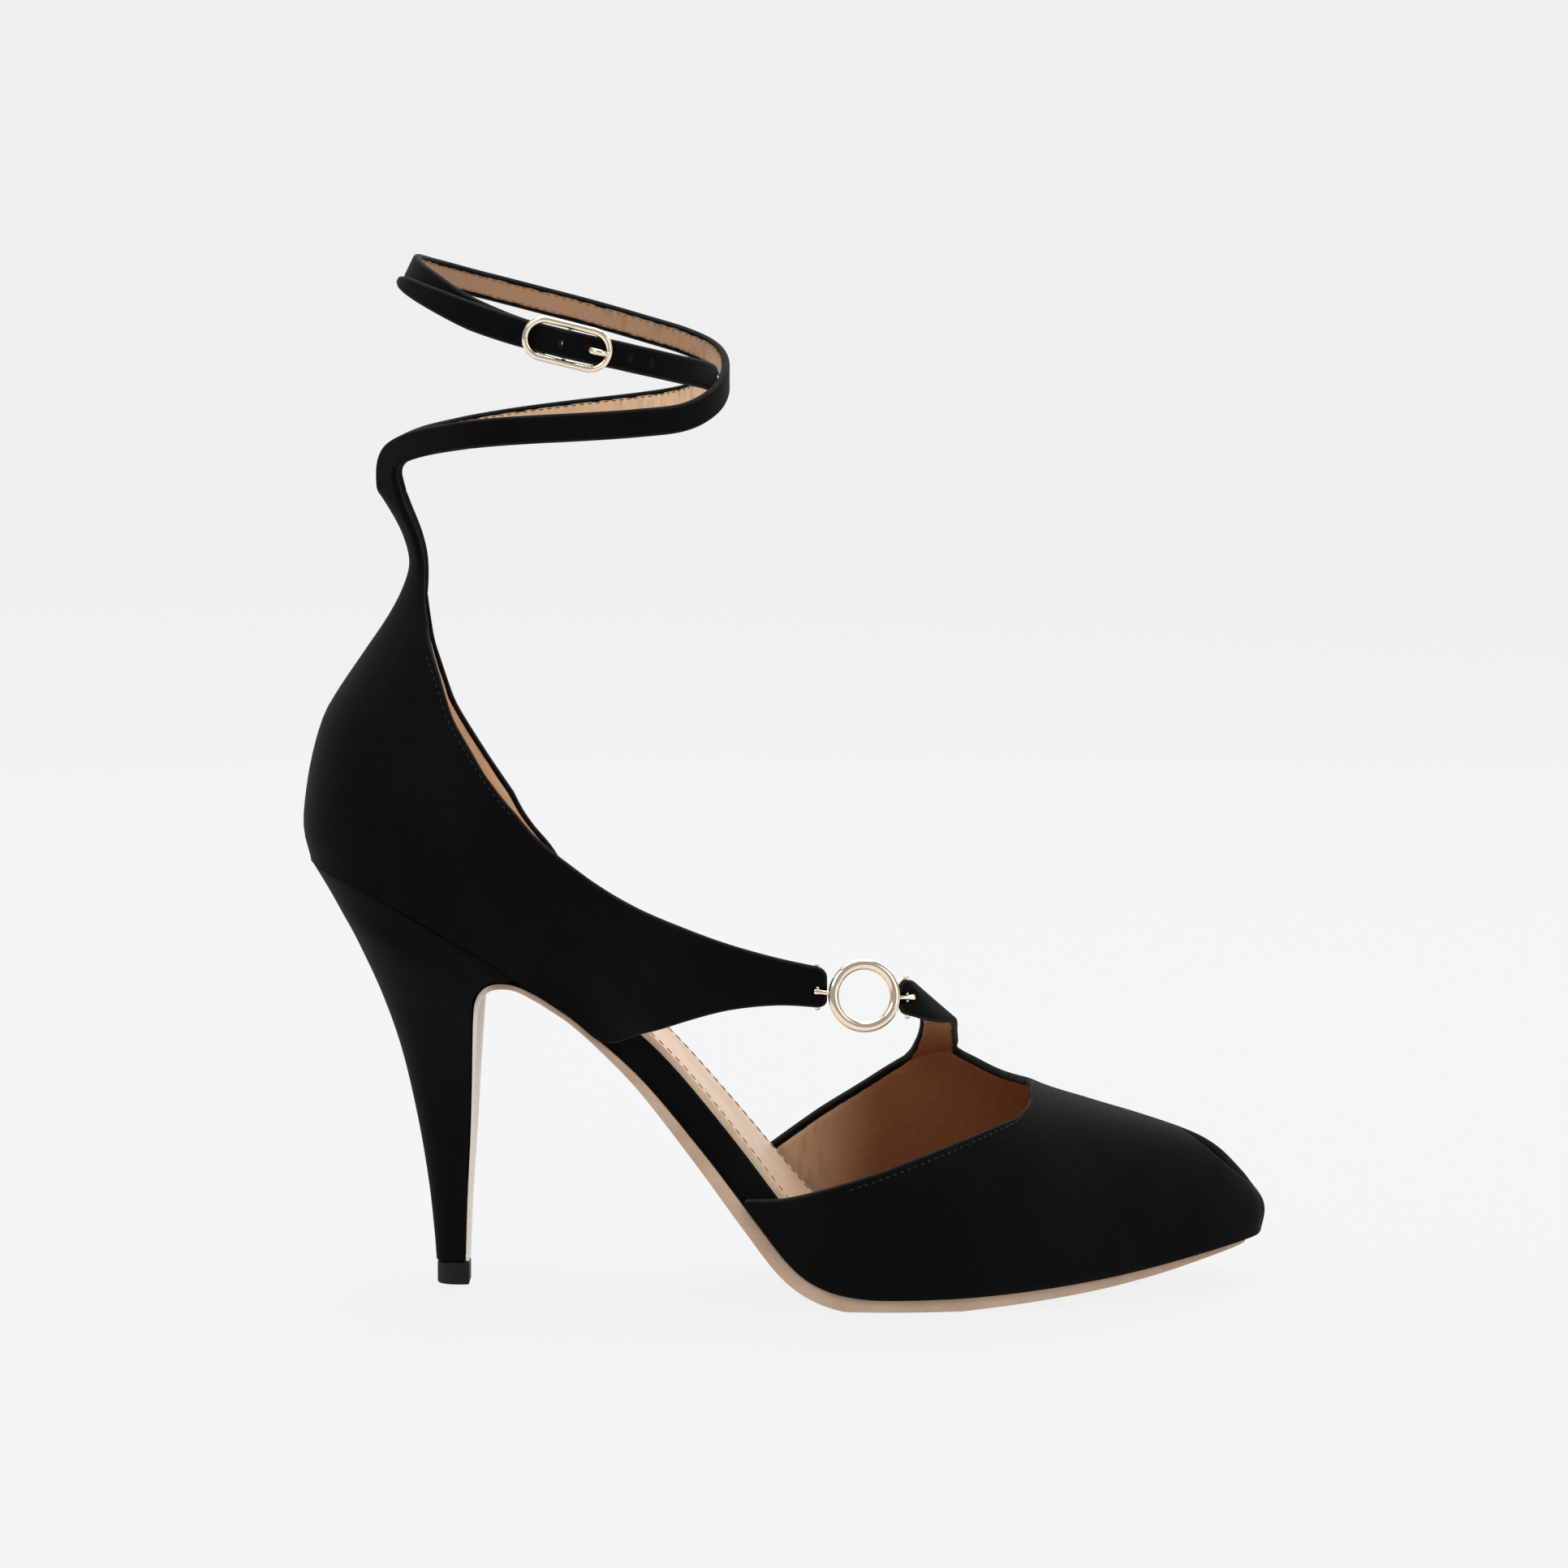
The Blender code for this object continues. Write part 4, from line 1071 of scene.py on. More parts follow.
class StitchRow:
    """Rows of stitches along lines, made by one node tree."""

    sockets = {"Geometry": "Geometry", "Pitch": "Float", "Length": "Float", "Radius": "Float", "Tilt": "Float",
               "Seed": "Int", "Thread": "Material"}
    tilt: float = 0.06

    def __init__(self, shop: Workshop) -> None:
        """Build the tree.

        Args:
            shop: Takes the stitches as pieces.
        """
        self.shop = shop
        self.tree = bpy.data.node_groups.new("stitch_row", "GeometryNodeTree")
        face = self.tree.interface
        self.keys = {name: face.new_socket(name, in_out="INPUT", socket_type="NodeSocket" + kind).identifier
                     for name, kind in self.sockets.items()}
        face.new_socket("Geometry", in_out="OUTPUT", socket_type="NodeSocketGeometry")
        self._fill()

    def _fill(self) -> None:
        """Nodes from the line to the finished stitches."""
        tree = Nodes(self.tree)
        start = self.tree.nodes.new("NodeGroupInput").outputs
        line, pitch, length, radius, tilt, seed, thread = (Value(tree, start[name]) for name in self.sockets)
        curve = tree.node("GeometryNodeMeshToCurve", "Curve", {"Mesh": line})
        even = tree.node("GeometryNodeResampleCurve", "Curve", {"Curve": curve, "Length": pitch}, mode="LENGTH")
        ball = tree.node("GeometryNodeMeshUVSphere", "Mesh", {"Segments": 8, "Rings": 6, "Radius": 1.0})
        size = tree.node("ShaderNodeCombineXYZ", "Vector", {"X": radius, "Y": radius, "Z": length * 0.5})
        limits = {"Min": (-1.0, -1.0, -1.0), "Max": (1.0, 1.0, 1.0), "Seed": seed}
        wander = tree.node("FunctionNodeRandomValue", "Value", limits, data_type="FLOAT_VECTOR")
        swing = tree.node("ShaderNodeVectorMath", "Vector", {0: wander, "Scale": tilt}, operation="SCALE")
        tangent = tree.node("GeometryNodeInputTangent", "Tangent")
        lean = tree.node("ShaderNodeVectorMath", "Vector", {0: tangent, 1: swing}, operation="ADD")
        turn = tree.node("FunctionNodeAlignRotationToVector", "Rotation", {"Vector": lean}, axis="Z")
        row = tree.node("GeometryNodeInstanceOnPoints", "Instances",
                        {"Points": even, "Instance": ball, "Rotation": turn, "Scale": size})
        real = tree.node("GeometryNodeRealizeInstances", "Geometry", {"Geometry": row})
        done = tree.node("GeometryNodeSetMaterial", "Geometry", {"Geometry": real, "Material": thread})
        tree.feed(self.tree.nodes.new("NodeGroupOutput").inputs["Geometry"], done)

    def sew(self, name: str, lines: Sequence[Array], thread: Thread, pitch: float, length: float, radius: float,
            seed: int) -> None:
        """Make stitches along lines, as one piece.

        Args:
            name: The piece's name.
            lines: Points of each line in millimetres.
            thread: The thread's finish.
            pitch: Distance from stitch to stitch.
            length: Length of a stitch.
            radius: Radius of the thread.
            seed: Seed of the small turns.
        """
        points = np.concatenate(lines)
        ends = set((np.cumsum([len(line) for line in lines]) - 1).tolist())
        edges = [(k, k + 1) for k in range(len(points)) if k not in ends]
        path = bpy.data.meshes.new(name + "_line")
        path.from_pydata(self.shop.placed(points).tolist(), edges, [])
        guide = bpy.data.objects.new(name + "_line", path)
        bpy.context.scene.collection.objects.link(guide)
        modifier = guide.modifiers.new("stitches", "NODES")
        modifier.node_group = self.tree
        given = {"Pitch": pitch * MM, "Length": length * MM, "Radius": radius * MM, "Tilt": self.tilt, "Seed": seed,
                 "Thread": thread.material}
        for key, value in given.items():
            modifier[self.keys[key]] = value
        bpy.context.view_layer.update()
        graph = bpy.context.evaluated_depsgraph_get()
        data = bpy.data.meshes.new_from_object(guide.evaluated_get(graph))
        bpy.data.objects.remove(guide, do_unlink=True)
        bpy.data.meshes.remove(path)
        data.name = name
        data.shade_smooth()
        self.shop.ridden(name, data, thread)


# Sole and heel


@dataclass
class SoleUnit:
    """Outsole with its breast flap, wrapped platform and insole.

    Flap rows hold the outer face's x and z, the inner face's x and z, and the half width.
    """

    line: SoleLine
    gap: float = 0.3
    insole: float = 1.4
    outsole_inset: float = 1.2
    outsole_toe_inset: float = 3.6
    outsole_toe_rows: float = 4.0
    platform_inset: float = 2.4
    insole_inset: float = 2.9
    outsole_start: float = 8.0
    outsole_steps: tuple[int, int] = (130, 12)
    board_steps: tuple[int, int] = (150, 14)
    flap_steps: int = 8
    stitch_inset: float = 5.2
    stitch_lift: float = 0.06
    stitch_start: float = 1.6
    stitch_short: float = 4.0
    stitch_points: int = 220
    outsole_thickness: Table = Table((
        (-60, 0.9), (-46, 1), (-28.8, 2), (-16.6, 2.6), (-6.2, 2.9), (1.5, 3), (8, 3.1), (16, 3.2),
        (26, 3.1), (33, 3.1), (40, 2.6), (54, 2.3), (66, 2.1), (80, 1.7), (92, 1.3), (99, 1.1),
        (105, 0.9),
    ))
    platform_thickness: Table = Table((
        (-104, 3.6), (-70, 4.2), (-45, 5.8), (-28, 6.3), (30, 6.2), (80, 5.6), (106, 5),
    ))
    flap: Table = Table((
        (-52, 63.9, -51.6, 65, 21.4), (-57, 66.5, -57.2, 67.6, 21.2), (-60.6, 67, -61.1, 68.1, 21),
        (-63.2, 66.2, -64, 67.1, 20.6), (-65.1, 63.6, -65.9, 64.2, 19.6), (-65.7, 59, -66.5, 59, 17.6),
        (-66.4, 46, -67.1, 46, 12), (-67, 33.3, -67.7, 33.3, 8.2), (-67.9, 18.6, -68.6, 18.6, 5.2),
        (-68.4, 5.3, -69.1, 5.3, 3.7),
    ))

    def grid(self, first: float, steps: tuple[int, int], inset: Law,
             level: Law) -> Array:
        """Points across the shoe at a level above the sole line.

        Args:
            first: Row position where the grid starts.
            steps: Steps along the shoe and across it.
            inset: Distance from the edge at a row position.
            level: Height above the sole line at x.

        Returns:
            A grid of points.
        """
        points: list[Array] = []
        for k in range(steps[0] + 1):
            t = first + (self.line.rows.last - first) * k / steps[0]
            left, right = (np.array(self.line.edge(t, side, inset(t))) for side in Side)
            row = [blend(left, right, c / steps[1]) for c in range(steps[1] + 1)]
            points.append(self.raised(row, level))
        return np.array(points)

    def raised(self, plan: Sequence[Sequence[float]], level: Law) -> Array:
        """Plan points lifted square to the sole line, to a level above it at each x."""
        lifted = [self.line.lifted(x, level(x)) for x, _ in plan]
        return np.array([(x, y, z) for (x, z), (_, y) in zip(lifted, plan)])

    def toe_inset(self, t: float) -> float:
        """Distance of the outsole's edge from the sole line, larger at the toe."""
        start = self.line.rows.last - self.outsole_toe_rows
        return blend(self.outsole_inset, self.outsole_toe_inset, clamp((t - start) / self.outsole_toe_rows))

    def insole_top(self, x: float) -> float:
        """Level of the insole's face above the sole line."""
        return self.platform_thickness.look(x) + self.gap + self.insole

    def outsole(self) -> Shape:
        """The outsole with its flap.

        Returns:
            Points and faces.
        """
        faces = (lambda x: -self.gap - self.outsole_thickness.look(x), lambda x: -self.gap)
        under, over = (self.grid(self.outsole_start, self.outsole_steps, self.toe_inset, face) for face in faces)
        under[:, :, 2] = np.maximum(under[:, :, 2], 0.0)
        shares = np.linspace(-1.0, 1.0, self.outsole_steps[1] + 1)
        flaps: tuple[list[Array], list[Array]] = ([], [])
        for k in range(int(self.flap.last) * self.flap_steps + 1):
            *ends, half = self.flap.at(self.flap.last - k / self.flap_steps)
            for rows, x, z in zip(flaps, ends[::2], ends[1::2]):
                rows.append(np.stack((np.full_like(shares, x), shares * half, np.full_like(shares, z)), axis=1))
        return slab(np.concatenate([np.array(flaps[0]), under]), np.concatenate([np.array(flaps[1]), over]))

    def board(self, inset: float, under: Law, over: Law) -> Shape:
        """A board along the whole sole, at a distance from its edge and between two levels."""
        return slab(*(self.grid(0.0, self.board_steps, lambda t: inset, level) for level in (under, over)))

    def build(self, shop: Workshop) -> None:
        """Make the three pieces.

        Args:
            shop: Makes pieces.
        """
        thickness = self.platform_thickness.look
        platform = self.board(self.platform_inset, lambda x: 0.0, thickness)
        insole = self.board(self.insole_inset, lambda x: thickness(x) + self.gap, self.insole_top)
        shop.piece("outsole_leather", self.outsole(), SOLE, ("outsole",), soften=0.22, sharp=50.0)
        shop.piece("platform_cover", platform, SUEDE, ("platform",), soften=0.5, sharp=50.0)
        shop.piece("insole_sock", insole, INSOLE, ("insole",), soften=0.35, sharp=50.0)

    def stitch_lines(self) -> list[Array]:
        """Stitching along the insole's edges.

        Returns:
            Points of each line.
        """
        run = (self.line.rows.last - self.stitch_short) * np.arange(self.stitch_points)
        rows = self.stitch_start + run / (self.stitch_points - 1.0)
        lines: list[Array] = []
        for side in Side:
            plan = [self.line.edge(t, side, self.stitch_inset) for t in rows]
            lines.append(self.raised(plan, lambda x: self.insole_top(x) + self.stitch_lift))
        return lines


def around(p: float) -> Pair:
    """Place around a rounded back.

    Args:
        p: Turn from the middle of the back, where 1 is a quarter turn.

    Returns:
        Shares of the back's length and width.
    """
    turn = abs(p)
    if turn <= 1.0:
        return 1.0 - math.cos(turn * math.pi / 2.0), math.sin(turn * math.pi / 2.0)
    return 1.0 + (turn - 1.0) * math.pi / 2.0, 1.0


def turn_for(share: float) -> float:
    """Turn around a rounded back.

    Args:
        share: Share of the back's length.

    Returns:
        The turn that reaches it.
    """
    if share <= 1.0:
        return math.acos(clamp(1.0 - share, -1.0, 1.0)) * 2.0 / math.pi
    return 1.0 + (share - 1.0) * 2.0 / math.pi


def round_back(depth: float, roundness: float, columns: int) -> list[tuple[Side, float, float]]:
    """Points around a rounded back, from its outer front corner to its inner one.

    Args:
        depth: Distance from the back to the front.
        roundness: Share of the depth that is round.
        columns: Steps around it.

    Returns:
        Side, distance from the back and share of the half width at each point.
    """
    length = depth * roundness
    reach = turn_for(depth / length)
    turns = [reach * (1.0 - 2.0 * k / columns) for k in range(columns + 1)]
    return [(Side.OUTER if p > 0.0 else Side.INNER, length * around(p)[0], around(p)[1]) for p in turns]


@dataclass
class Heel:
    """Covered heel and its rubber tip.

    Rows of the profile hold back z, back x, front z, front x and half width, from the tip to the seat.
    """

    line: SoleLine
    seat_gap: float = 0.4
    inset: float = 0.5
    roundness: float = 0.66
    tip_roundness: float = 0.6
    tip_height: float = 4.9
    tip_half: float = 4.0
    tip_back: float = -75.5
    tip_front: float = -68.4
    tip_columns: int = 40
    columns: int = 56
    levels: int = 96
    profile: Table = Table((
        (5.2, -75.7, 5.2, -69.5, 3.9), (12, -76.2, 12, -69.3, 4.6), (23.1, -77.4, 22.5, -68.8, 6),
        (36.5, -79.6, 34.5, -68.1, 8.1), (51.6, -83, 46, -67.5, 11.6), (64.1, -87.3, 54.5, -67.1, 15.2),
        (75.6, -92.5, 61.5, -66.8, 19.2), (81.4, -95.6, 65, -66.3, 21.2), (86.8, -98.6, 68.4, -63, 22.9),
        (92.3, -101.9, 68.9, -57.6, 25),
    ))

    def outline(self, level: float) -> list[Point]:
        """Outline of the heel from the outer front corner round the back to the inner one.

        Args:
            level: Row position from the tip to the seat.

        Returns:
            Points of the outline.
        """
        back_z, back_x, front_z, front_x, half = self.profile.at(level)
        depth = front_x - back_x
        seat = (level / self.profile.last) ** 3
        top_z, top_x, foot_z, foot_x, _ = self.profile.rows[-1]
        points: list[Point] = []
        for edge, run, side in round_back(depth, self.roundness, self.columns):
            x, f = back_x + run, run / depth
            level_seat = self.line.height(blend(top_x, foot_x, f)) - self.seat_gap
            z = blend(back_z, front_z, f) + seat * (level_seat - blend(top_z, foot_z, f))
            reach = max(self.line.rows.look(x, edge.column) - self.inset, 0.0)
            points.append((x, edge.value * min(half * side, reach), z))
        return points

    def tip(self) -> Shape:
        """Rubber tip, flat on the floor.

        Returns:
            Points and faces.
        """
        turns = round_back(self.tip_front - self.tip_back, self.tip_roundness, self.tip_columns)
        count = len(turns)
        points = [(self.tip_back + run, edge.value * self.tip_half * side, z)
                  for z in (0.0, self.tip_height) for edge, run, side in turns]
        caps = [tuple(range(count)), tuple(range(count, 2 * count))]
        return np.array(points), ring_faces(2, count) + caps

    def cover(self) -> Shape:
        """The heel's block under its cover.

        Returns:
            Points and faces.
        """
        outlines = [self.outline(self.profile.last * k / self.levels) for k in range(self.levels + 1)]
        columns, count = self.columns, self.columns + 1
        faces = ring_faces(len(outlines), count)
        for base in (0, self.levels * count):
            for c in range(columns // 2):
                ring = (base + c, base + c + 1, base + columns - c - 1, base + columns - c)
                faces.append(tuple(dict.fromkeys(ring)))
        return np.concatenate(outlines), faces

    def build(self, shop: Workshop) -> None:
        """Make the heel cover and the tip in a workshop."""
        shop.piece("heel_cover", self.cover(), SUEDE, ("heel",), soften=0.25, sharp=50.0, turned=True)
        shop.piece("heel_tip", self.tip(), RUBBER, ("top_piece",), soften=0.45, sharp=50.0, turned=True)


# Upper


@dataclass
class Leathers:
    """Thicknesses of the upper's leathers and the width of its folded edges."""

    skin: float = 1.25
    fold: float = 1.75
    fold_step: Pair = (-0.35, 0.25)
    lining_top: float = 1.28
    lining_bottom: float = 1.72
    lining_thin: float = 0.25
    lining_run: float = 0.5
    raggedness: float = 0.16
    groove: float = 1.05
    # How far from a rolled edge the painted sheen highlight reaches, and the fold widths over which it is dimmed
    glow: float = 0.9
    wide_fold: Pair = (2.0, 4.0)
    wide_fold_dull: float = 0.85

    def dress(self, name: str, sheet: Sheet, free: Field, shop: Workshop, nodes: Sequence[str]) -> None:
        """Make a suede wall with rolled edges, and its lining.

        Args:
            name: Name of the wall.
            sheet: Outer face of the wall, with the fold's width as "fold" and pressed grooves as "press".
            free: Says for each rim edge's middle whether the edge is free.
            shop: Makes pieces.
            nodes: Nodes of the part that the wall stands for.
        """
        away = sheet.distance_to_rim(free)
        fold, press = sheet.values["fold"], sheet.values["press"]
        depth = rolled(away, self.fold)
        thickness = blend(self.fold, self.skin, ease(*self.fold_step, away - fold))
        wall = sheet.walled(np.maximum(depth, press * self.groove), thickness - depth)
        # Painted sheen highlight along free rolled edges, kept off pressed grooves and dimmed on wide folds
        dull = 1.0 - self.wide_fold_dull * ease(*self.wide_fold, fold)
        edge = (1.0 - ease(0.1, self.glow, away)) * (1.0 - press) * dull
        shop.piece(name, wall, SUEDE, nodes, edge=np.concatenate([edge, edge]))
        sheet.values.update(normal=sheet.normals, away=away)
        x, y, z = sheet.points.T
        wave = np.sin(x * 1.7 + z * 1.1) * np.sin(y * 1.3 + 1.0) + 0.5 * np.sin(x * 0.61 - y * 0.47 + z * 0.9)
        inner = sheet.cut(away - fold - self.raggedness * wave)
        reach = np.maximum(inner.values["away"] - inner.values["fold"], 0.0)
        top = np.full(len(inner.points), self.lining_top)
        bottom = self.lining_bottom - self.lining_thin * (1.0 - ease(0.0, self.lining_run, reach))
        shop.piece(name + "_lining", inner.walled(top, bottom), LINING)


@dataclass
class Vamp:
    """Front of the upper: closed over the toes, open at the toe tip, with the instep strap on its inner side.

    Ridge rows hold x, y, z of the instep line. Instep rows hold the strap's back edge x, y, z and front edge x, y, z.
    Crotches hold the height, spread and least y of the smoothing at the strap's foot, and the base band its half
    height, its ends' length and its least y.
    """

    line: SoleLine
    section_power: float = 2.25
    section_bulge: float = 0.05
    toe_bulge: float = 2.85
    toe_bulge_reach: float = 12.0
    opening_half_outer: float = 5.0
    opening_half_inner: float = 2.8
    opening_back: float = 86.5
    opening_front: float = 102.0
    opening_power: float = 0.8
    start_x: float = -8.4
    throat_x: float = 54.0
    even_from: float = 46.0
    strap_back: float = 26.8
    strap_front: float = 38.4
    columns: int = 24
    strap_columns: int = 10
    waist_rows: int = 64
    throat_rows: int = 46
    toe_rows: int = 110
    strap_rows: int = 96
    measure_points: int = 90
    measure_power: float = 1.15
    seam_points: int = 120
    keep_scale: float = 30.0
    keep_least: float = 0.001
    ridge: Table = Table((
        (-14, 3, 100), (-4, 3.5, 92), (3.5, 4, 86.5), (9.5, 4.2, 82), (17, 4.5, 76),
        (26.5, 4.5, 63.5), (40, 4.5, 51.8), (54.2, 4.2, 43.6), (66.8, 4.2, 39.4), (77.6, 4.4, 36.2),
        (87.4, 4.6, 32.9), (94.8, 4.8, 29.4), (99.8, 5, 24.4), (102.2, 5, 21.2),
    ))
    top_outer: Table = Table((
        (-8.4, 23), (-6.2, 23.2), (0.7, 24.2), (16.1, 28.9), (31.7, 34.2), (43.9, 38), (49.5, 39.6),
        (52.6, 41.6), (54, 43.6),
    ))
    top_inner: Table = Table((
        (-8.4, 23), (-3.8, 26.6), (6.2, 33.3), (17, 39.6), (26.8, 46), (32.5, 48.6), (38.4, 48.6),
        (46.9, 44.6), (51, 43.6), (54, 43.6),
    ))
    instep: Rows = (
        (28.4, 22.5, 49.2, 38.4, 18.5, 50.4), (29.6, 17.5, 52.6, 38.4, 14, 52),
        (30.2, 11.5, 56.2, 38.3, 9, 53.6), (30, 4.5, 59.8, 38.1, 4, 55.2),
        (29.4, -3, 63.2, 38, -1, 56.7), (28.4, -10.5, 66.4, 37.8, -5.4, 58),
        (27.3, -16, 68.6, 37.3, -9.4, 58.9), (26.9, -17.8, 69, 34.2, -15, 59.4),
        (26.6, -18.9, 69.1, 30.4, -18.7, 60.3), (26.2, -19.7, 69.1, 26.4, -20.6, 61.5),
        (24.9, -20.5, 68.9, 25, -21.2, 61.6),
    )
    instep_end: float = 1.5
    end_radius: float = 1.7
    groove_from: float = 28.4
    groove_z: float = 65.1
    groove_half: float = 1.3
    groove_side: float = -12.0
    fold: float = 1.7
    toe_fold: float = 0.6
    toe_fold_x: Pair = (82.0, 86.0)
    back_crotch: Point = (46.5, 14.0, 20.0)
    front_crotch: Point = (49.5, 9.0, 12.0)
    base_band: Point = (3.0, 2.0, 8.0)
    smooth_weight: float = 1.2
    smooth_rounds: int = 40
    rim_levels: tuple[float, ...] = (0.1, 0.28, 0.55, 0.95, 1.5)
    rim_clear: float = 0.3
    seam_below: float = 1.8
    outer_seam: Pair = (14.0, 51.0)
    inner_seam: Pair = (-2.0, 26.0)

    def section(self, t: float, side: Side, angles: Array) -> Array:
        """Points up one side of the forefoot.

        Args:
            t: Row position along the sole.
            side: Side of the foot.
            angles: Angles up the side, from 0 at the sole to a quarter turn at the ridge.

        Returns:
            One point for each angle.
        """
        foot, ridge, rim = self.feet(t, side)
        rise = np.sin(angles) ** (2.0 / self.section_power)
        run = np.maximum(np.cos(angles), 0.0) ** (2.0 / self.section_power)
        swell = np.sin(2.0 * angles)
        nearness = max(0.0, 1.0 - abs(rim - ridge[1]) / self.toe_bulge_reach)
        forward = self.toe_bulge * swell * np.cos(angles) ** 2 * nearness
        return np.stack((blend(foot[0], ridge[0], rise) + forward,
                         ridge[1] + (rim - ridge[1]) * (run + self.section_bulge * swell),
                         blend(foot[1], ridge[2], rise)), axis=1)

    def feet(self, t: float, side: Side) -> tuple[Array, Array, float]:
        """Row of the sole, row of the ridge and y of the sole's edge at a row position."""
        foot = self.line.rows.at(t)
        return foot, self.ridge.at(t - self.line.rows.last + self.ridge.last), side.value * foot[side.column]

    def limit(self, t: float, side: Side) -> float:
        """Angle where a side of the vamp ends: its top edge, the ridge or the open toe.

        Args:
            t: Row position along the sole.
            side: Side of the foot.

        Returns:
            The angle.
        """
        foot, ridge, rim = self.feet(t, side)
        outer = side is Side.OUTER
        if foot[0] < self.throat_x - 1e-6:
            top = (self.top_outer if outer else self.top_inner).look(foot[0])
            return math.asin(clamp((top - foot[1]) / (ridge[2] - foot[1]), 0.004) ** (self.section_power / 2.0))
        if ridge[0] <= self.opening_back or ridge[0] >= self.opening_front:
            return math.pi / 2.0
        along = (ridge[0] - self.opening_back) / (self.opening_front - self.opening_back)
        widest = self.opening_half_outer if outer else self.opening_half_inner
        half = widest * math.sin(math.pi * along) ** self.opening_power
        return math.acos(min(half / max(abs(rim - ridge[1]), 0.01), 0.9) ** (self.section_power / 2.0))

    def measured(self, t: float, side: Side, top: float) -> tuple[Array, Array]:
        """Fine angles up one side to a top angle, and the length run at each."""
        fine = top * np.linspace(0.0, 1.0, self.measure_points) ** self.measure_power
        return fine, lengths(self.section(t, side, fine))

    def side_line(self, t: float, side: Side) -> tuple[Array, Array]:
        """Points from the sole to the edge, close together at the edge, or evenly past it near the throat.

        Args:
            t: Row position along the sole.
            side: Side of the foot.

        Returns:
            The points, and how far each lies below the edge.
        """
        limit = top = self.limit(t, side)
        x = self.line.rows.at(t)[0]
        if self.even_from < x < self.throat_x:
            start = self.limit(self.line.row_at(self.even_from), side)
            top = start + (math.pi / 2.0 - start) * (x - self.even_from) / (self.throat_x - self.even_from)
        fine, run = self.measured(t, side, top)
        angles = np.interp(spaced(run[-1], EDGE_STEPS, self.columns, False) * run[-1], run, fine)
        return self.section(t, side, angles), (limit - angles) * self.keep_scale + self.keep_least

    def stitch_line(self, side: Side, first: float, last: float) -> Array:
        """Line below the edge of one side.

        Args:
            side: Side of the foot.
            first: Where the line starts along x.
            last: Where it ends.

        Returns:
            Points of the line.
        """
        line: list[Array] = []
        for x in np.linspace(first, last, self.seam_points):
            t = self.line.row_at(x)
            fine, run = self.measured(t, side, self.limit(t, side))
            line.append(self.section(t, side, np.interp([run[-1] - self.seam_below], run, fine))[0])
        return np.array(line)

    def strap_shares(self) -> Array:
        """Places across the instep strap, from its back edge to its front edge."""
        return spaced(self.strap_front - self.strap_back, EDGE_STEPS, self.strap_columns, True)

    def rows(self) -> Array:
        """Rows along the vamp.

        Returns:
            Rising row positions.
        """
        places = [*np.linspace(self.start_x, self.strap_back, self.waist_rows)[:-1],
                  *blend(self.strap_back, self.strap_front, self.strap_shares()),
                  *np.linspace(self.strap_front, self.throat_x, self.throat_rows)[1:]]
        marks = [self.line.row_at(x) for x in places]
        return np.concatenate([marks, np.linspace(marks[-1], self.line.rows.last, self.toe_rows)[1:]])

    def strap_patch(self, base: Array) -> Patch:
        """The instep strap above the inner side.

        Args:
            base: Points of the top edge that the strap grows from.

        Returns:
            A grid from the base to the strap's end at the ring.
        """
        edges = Table(((*base[0], *base[-1]), *self.instep))
        shares = self.strap_shares()[:, None]
        straight = blend(base[0], base[-1], shares)
        near_end = edges.last - np.array(EDGE_STEPS[::-1]) / self.instep_end
        grid = [base]
        for t in np.concatenate([np.linspace(0.0, near_end[0], self.strap_rows)[1:-1], near_end]):
            back, front = np.split(edges.at(t), 2)
            inset = end_inset(self.end_radius, (edges.last - t) * self.instep_end)
            held = 0.5 + (shares - 0.5) * (1.0 - 2.0 * inset / np.linalg.norm(front - back))
            grid.append(blend(back, front, held) + (base - straight) * max(0.0, 1.0 - t) ** 2)
        points = np.array(grid)
        press = groove(points, self.groove_from - self.groove_half, self.groove_z, self.groove_half, -1.0)
        even = np.ones(points.shape[:2])
        return Patch(points, {"fold": even, "press": press * (points[..., 1] < self.groove_side), "keep": even})

    def smoothing(self, points: Array) -> Array:
        """Smoothing around the foot of the instep strap.

        Args:
            points: Points of the vamp.

        Returns:
            How far each point is smoothed, from 0 to 1.
        """
        x, y, z = points.T
        back, front = self.strap_back, self.strap_front
        half, ends, side = self.base_band
        across = ease(back - ends, back, x) * (1.0 - ease(front, front + ends, x))
        mask = np.exp(-((z - self.top_inner.look(x)) / half) ** 2) * across * (y > side)
        for place, (height, spread, side) in ((back, self.back_crotch), (front, self.front_crotch)):
            mask += np.exp(-((x - place) ** 2 + (z - height) ** 2) / spread) * (y > side)
        return np.clip(mask * self.smooth_weight, 0.0, 1.0)

    def inside(self, middles: Array) -> Array:
        """Points within the forefoot."""
        x = middles[:, 0]
        return np.stack((x * 0.9, np.full_like(x, 3.0), 12.0 + np.maximum(0.0, 30.0 - x) * 0.5), axis=1)

    def free(self, middles: Array) -> Array:
        """Whether rim edges lie neither along the sole nor at the waist."""
        return (self.line.clearance(middles) > self.rim_clear) & (middles[:, 0] > self.start_x + 0.2)

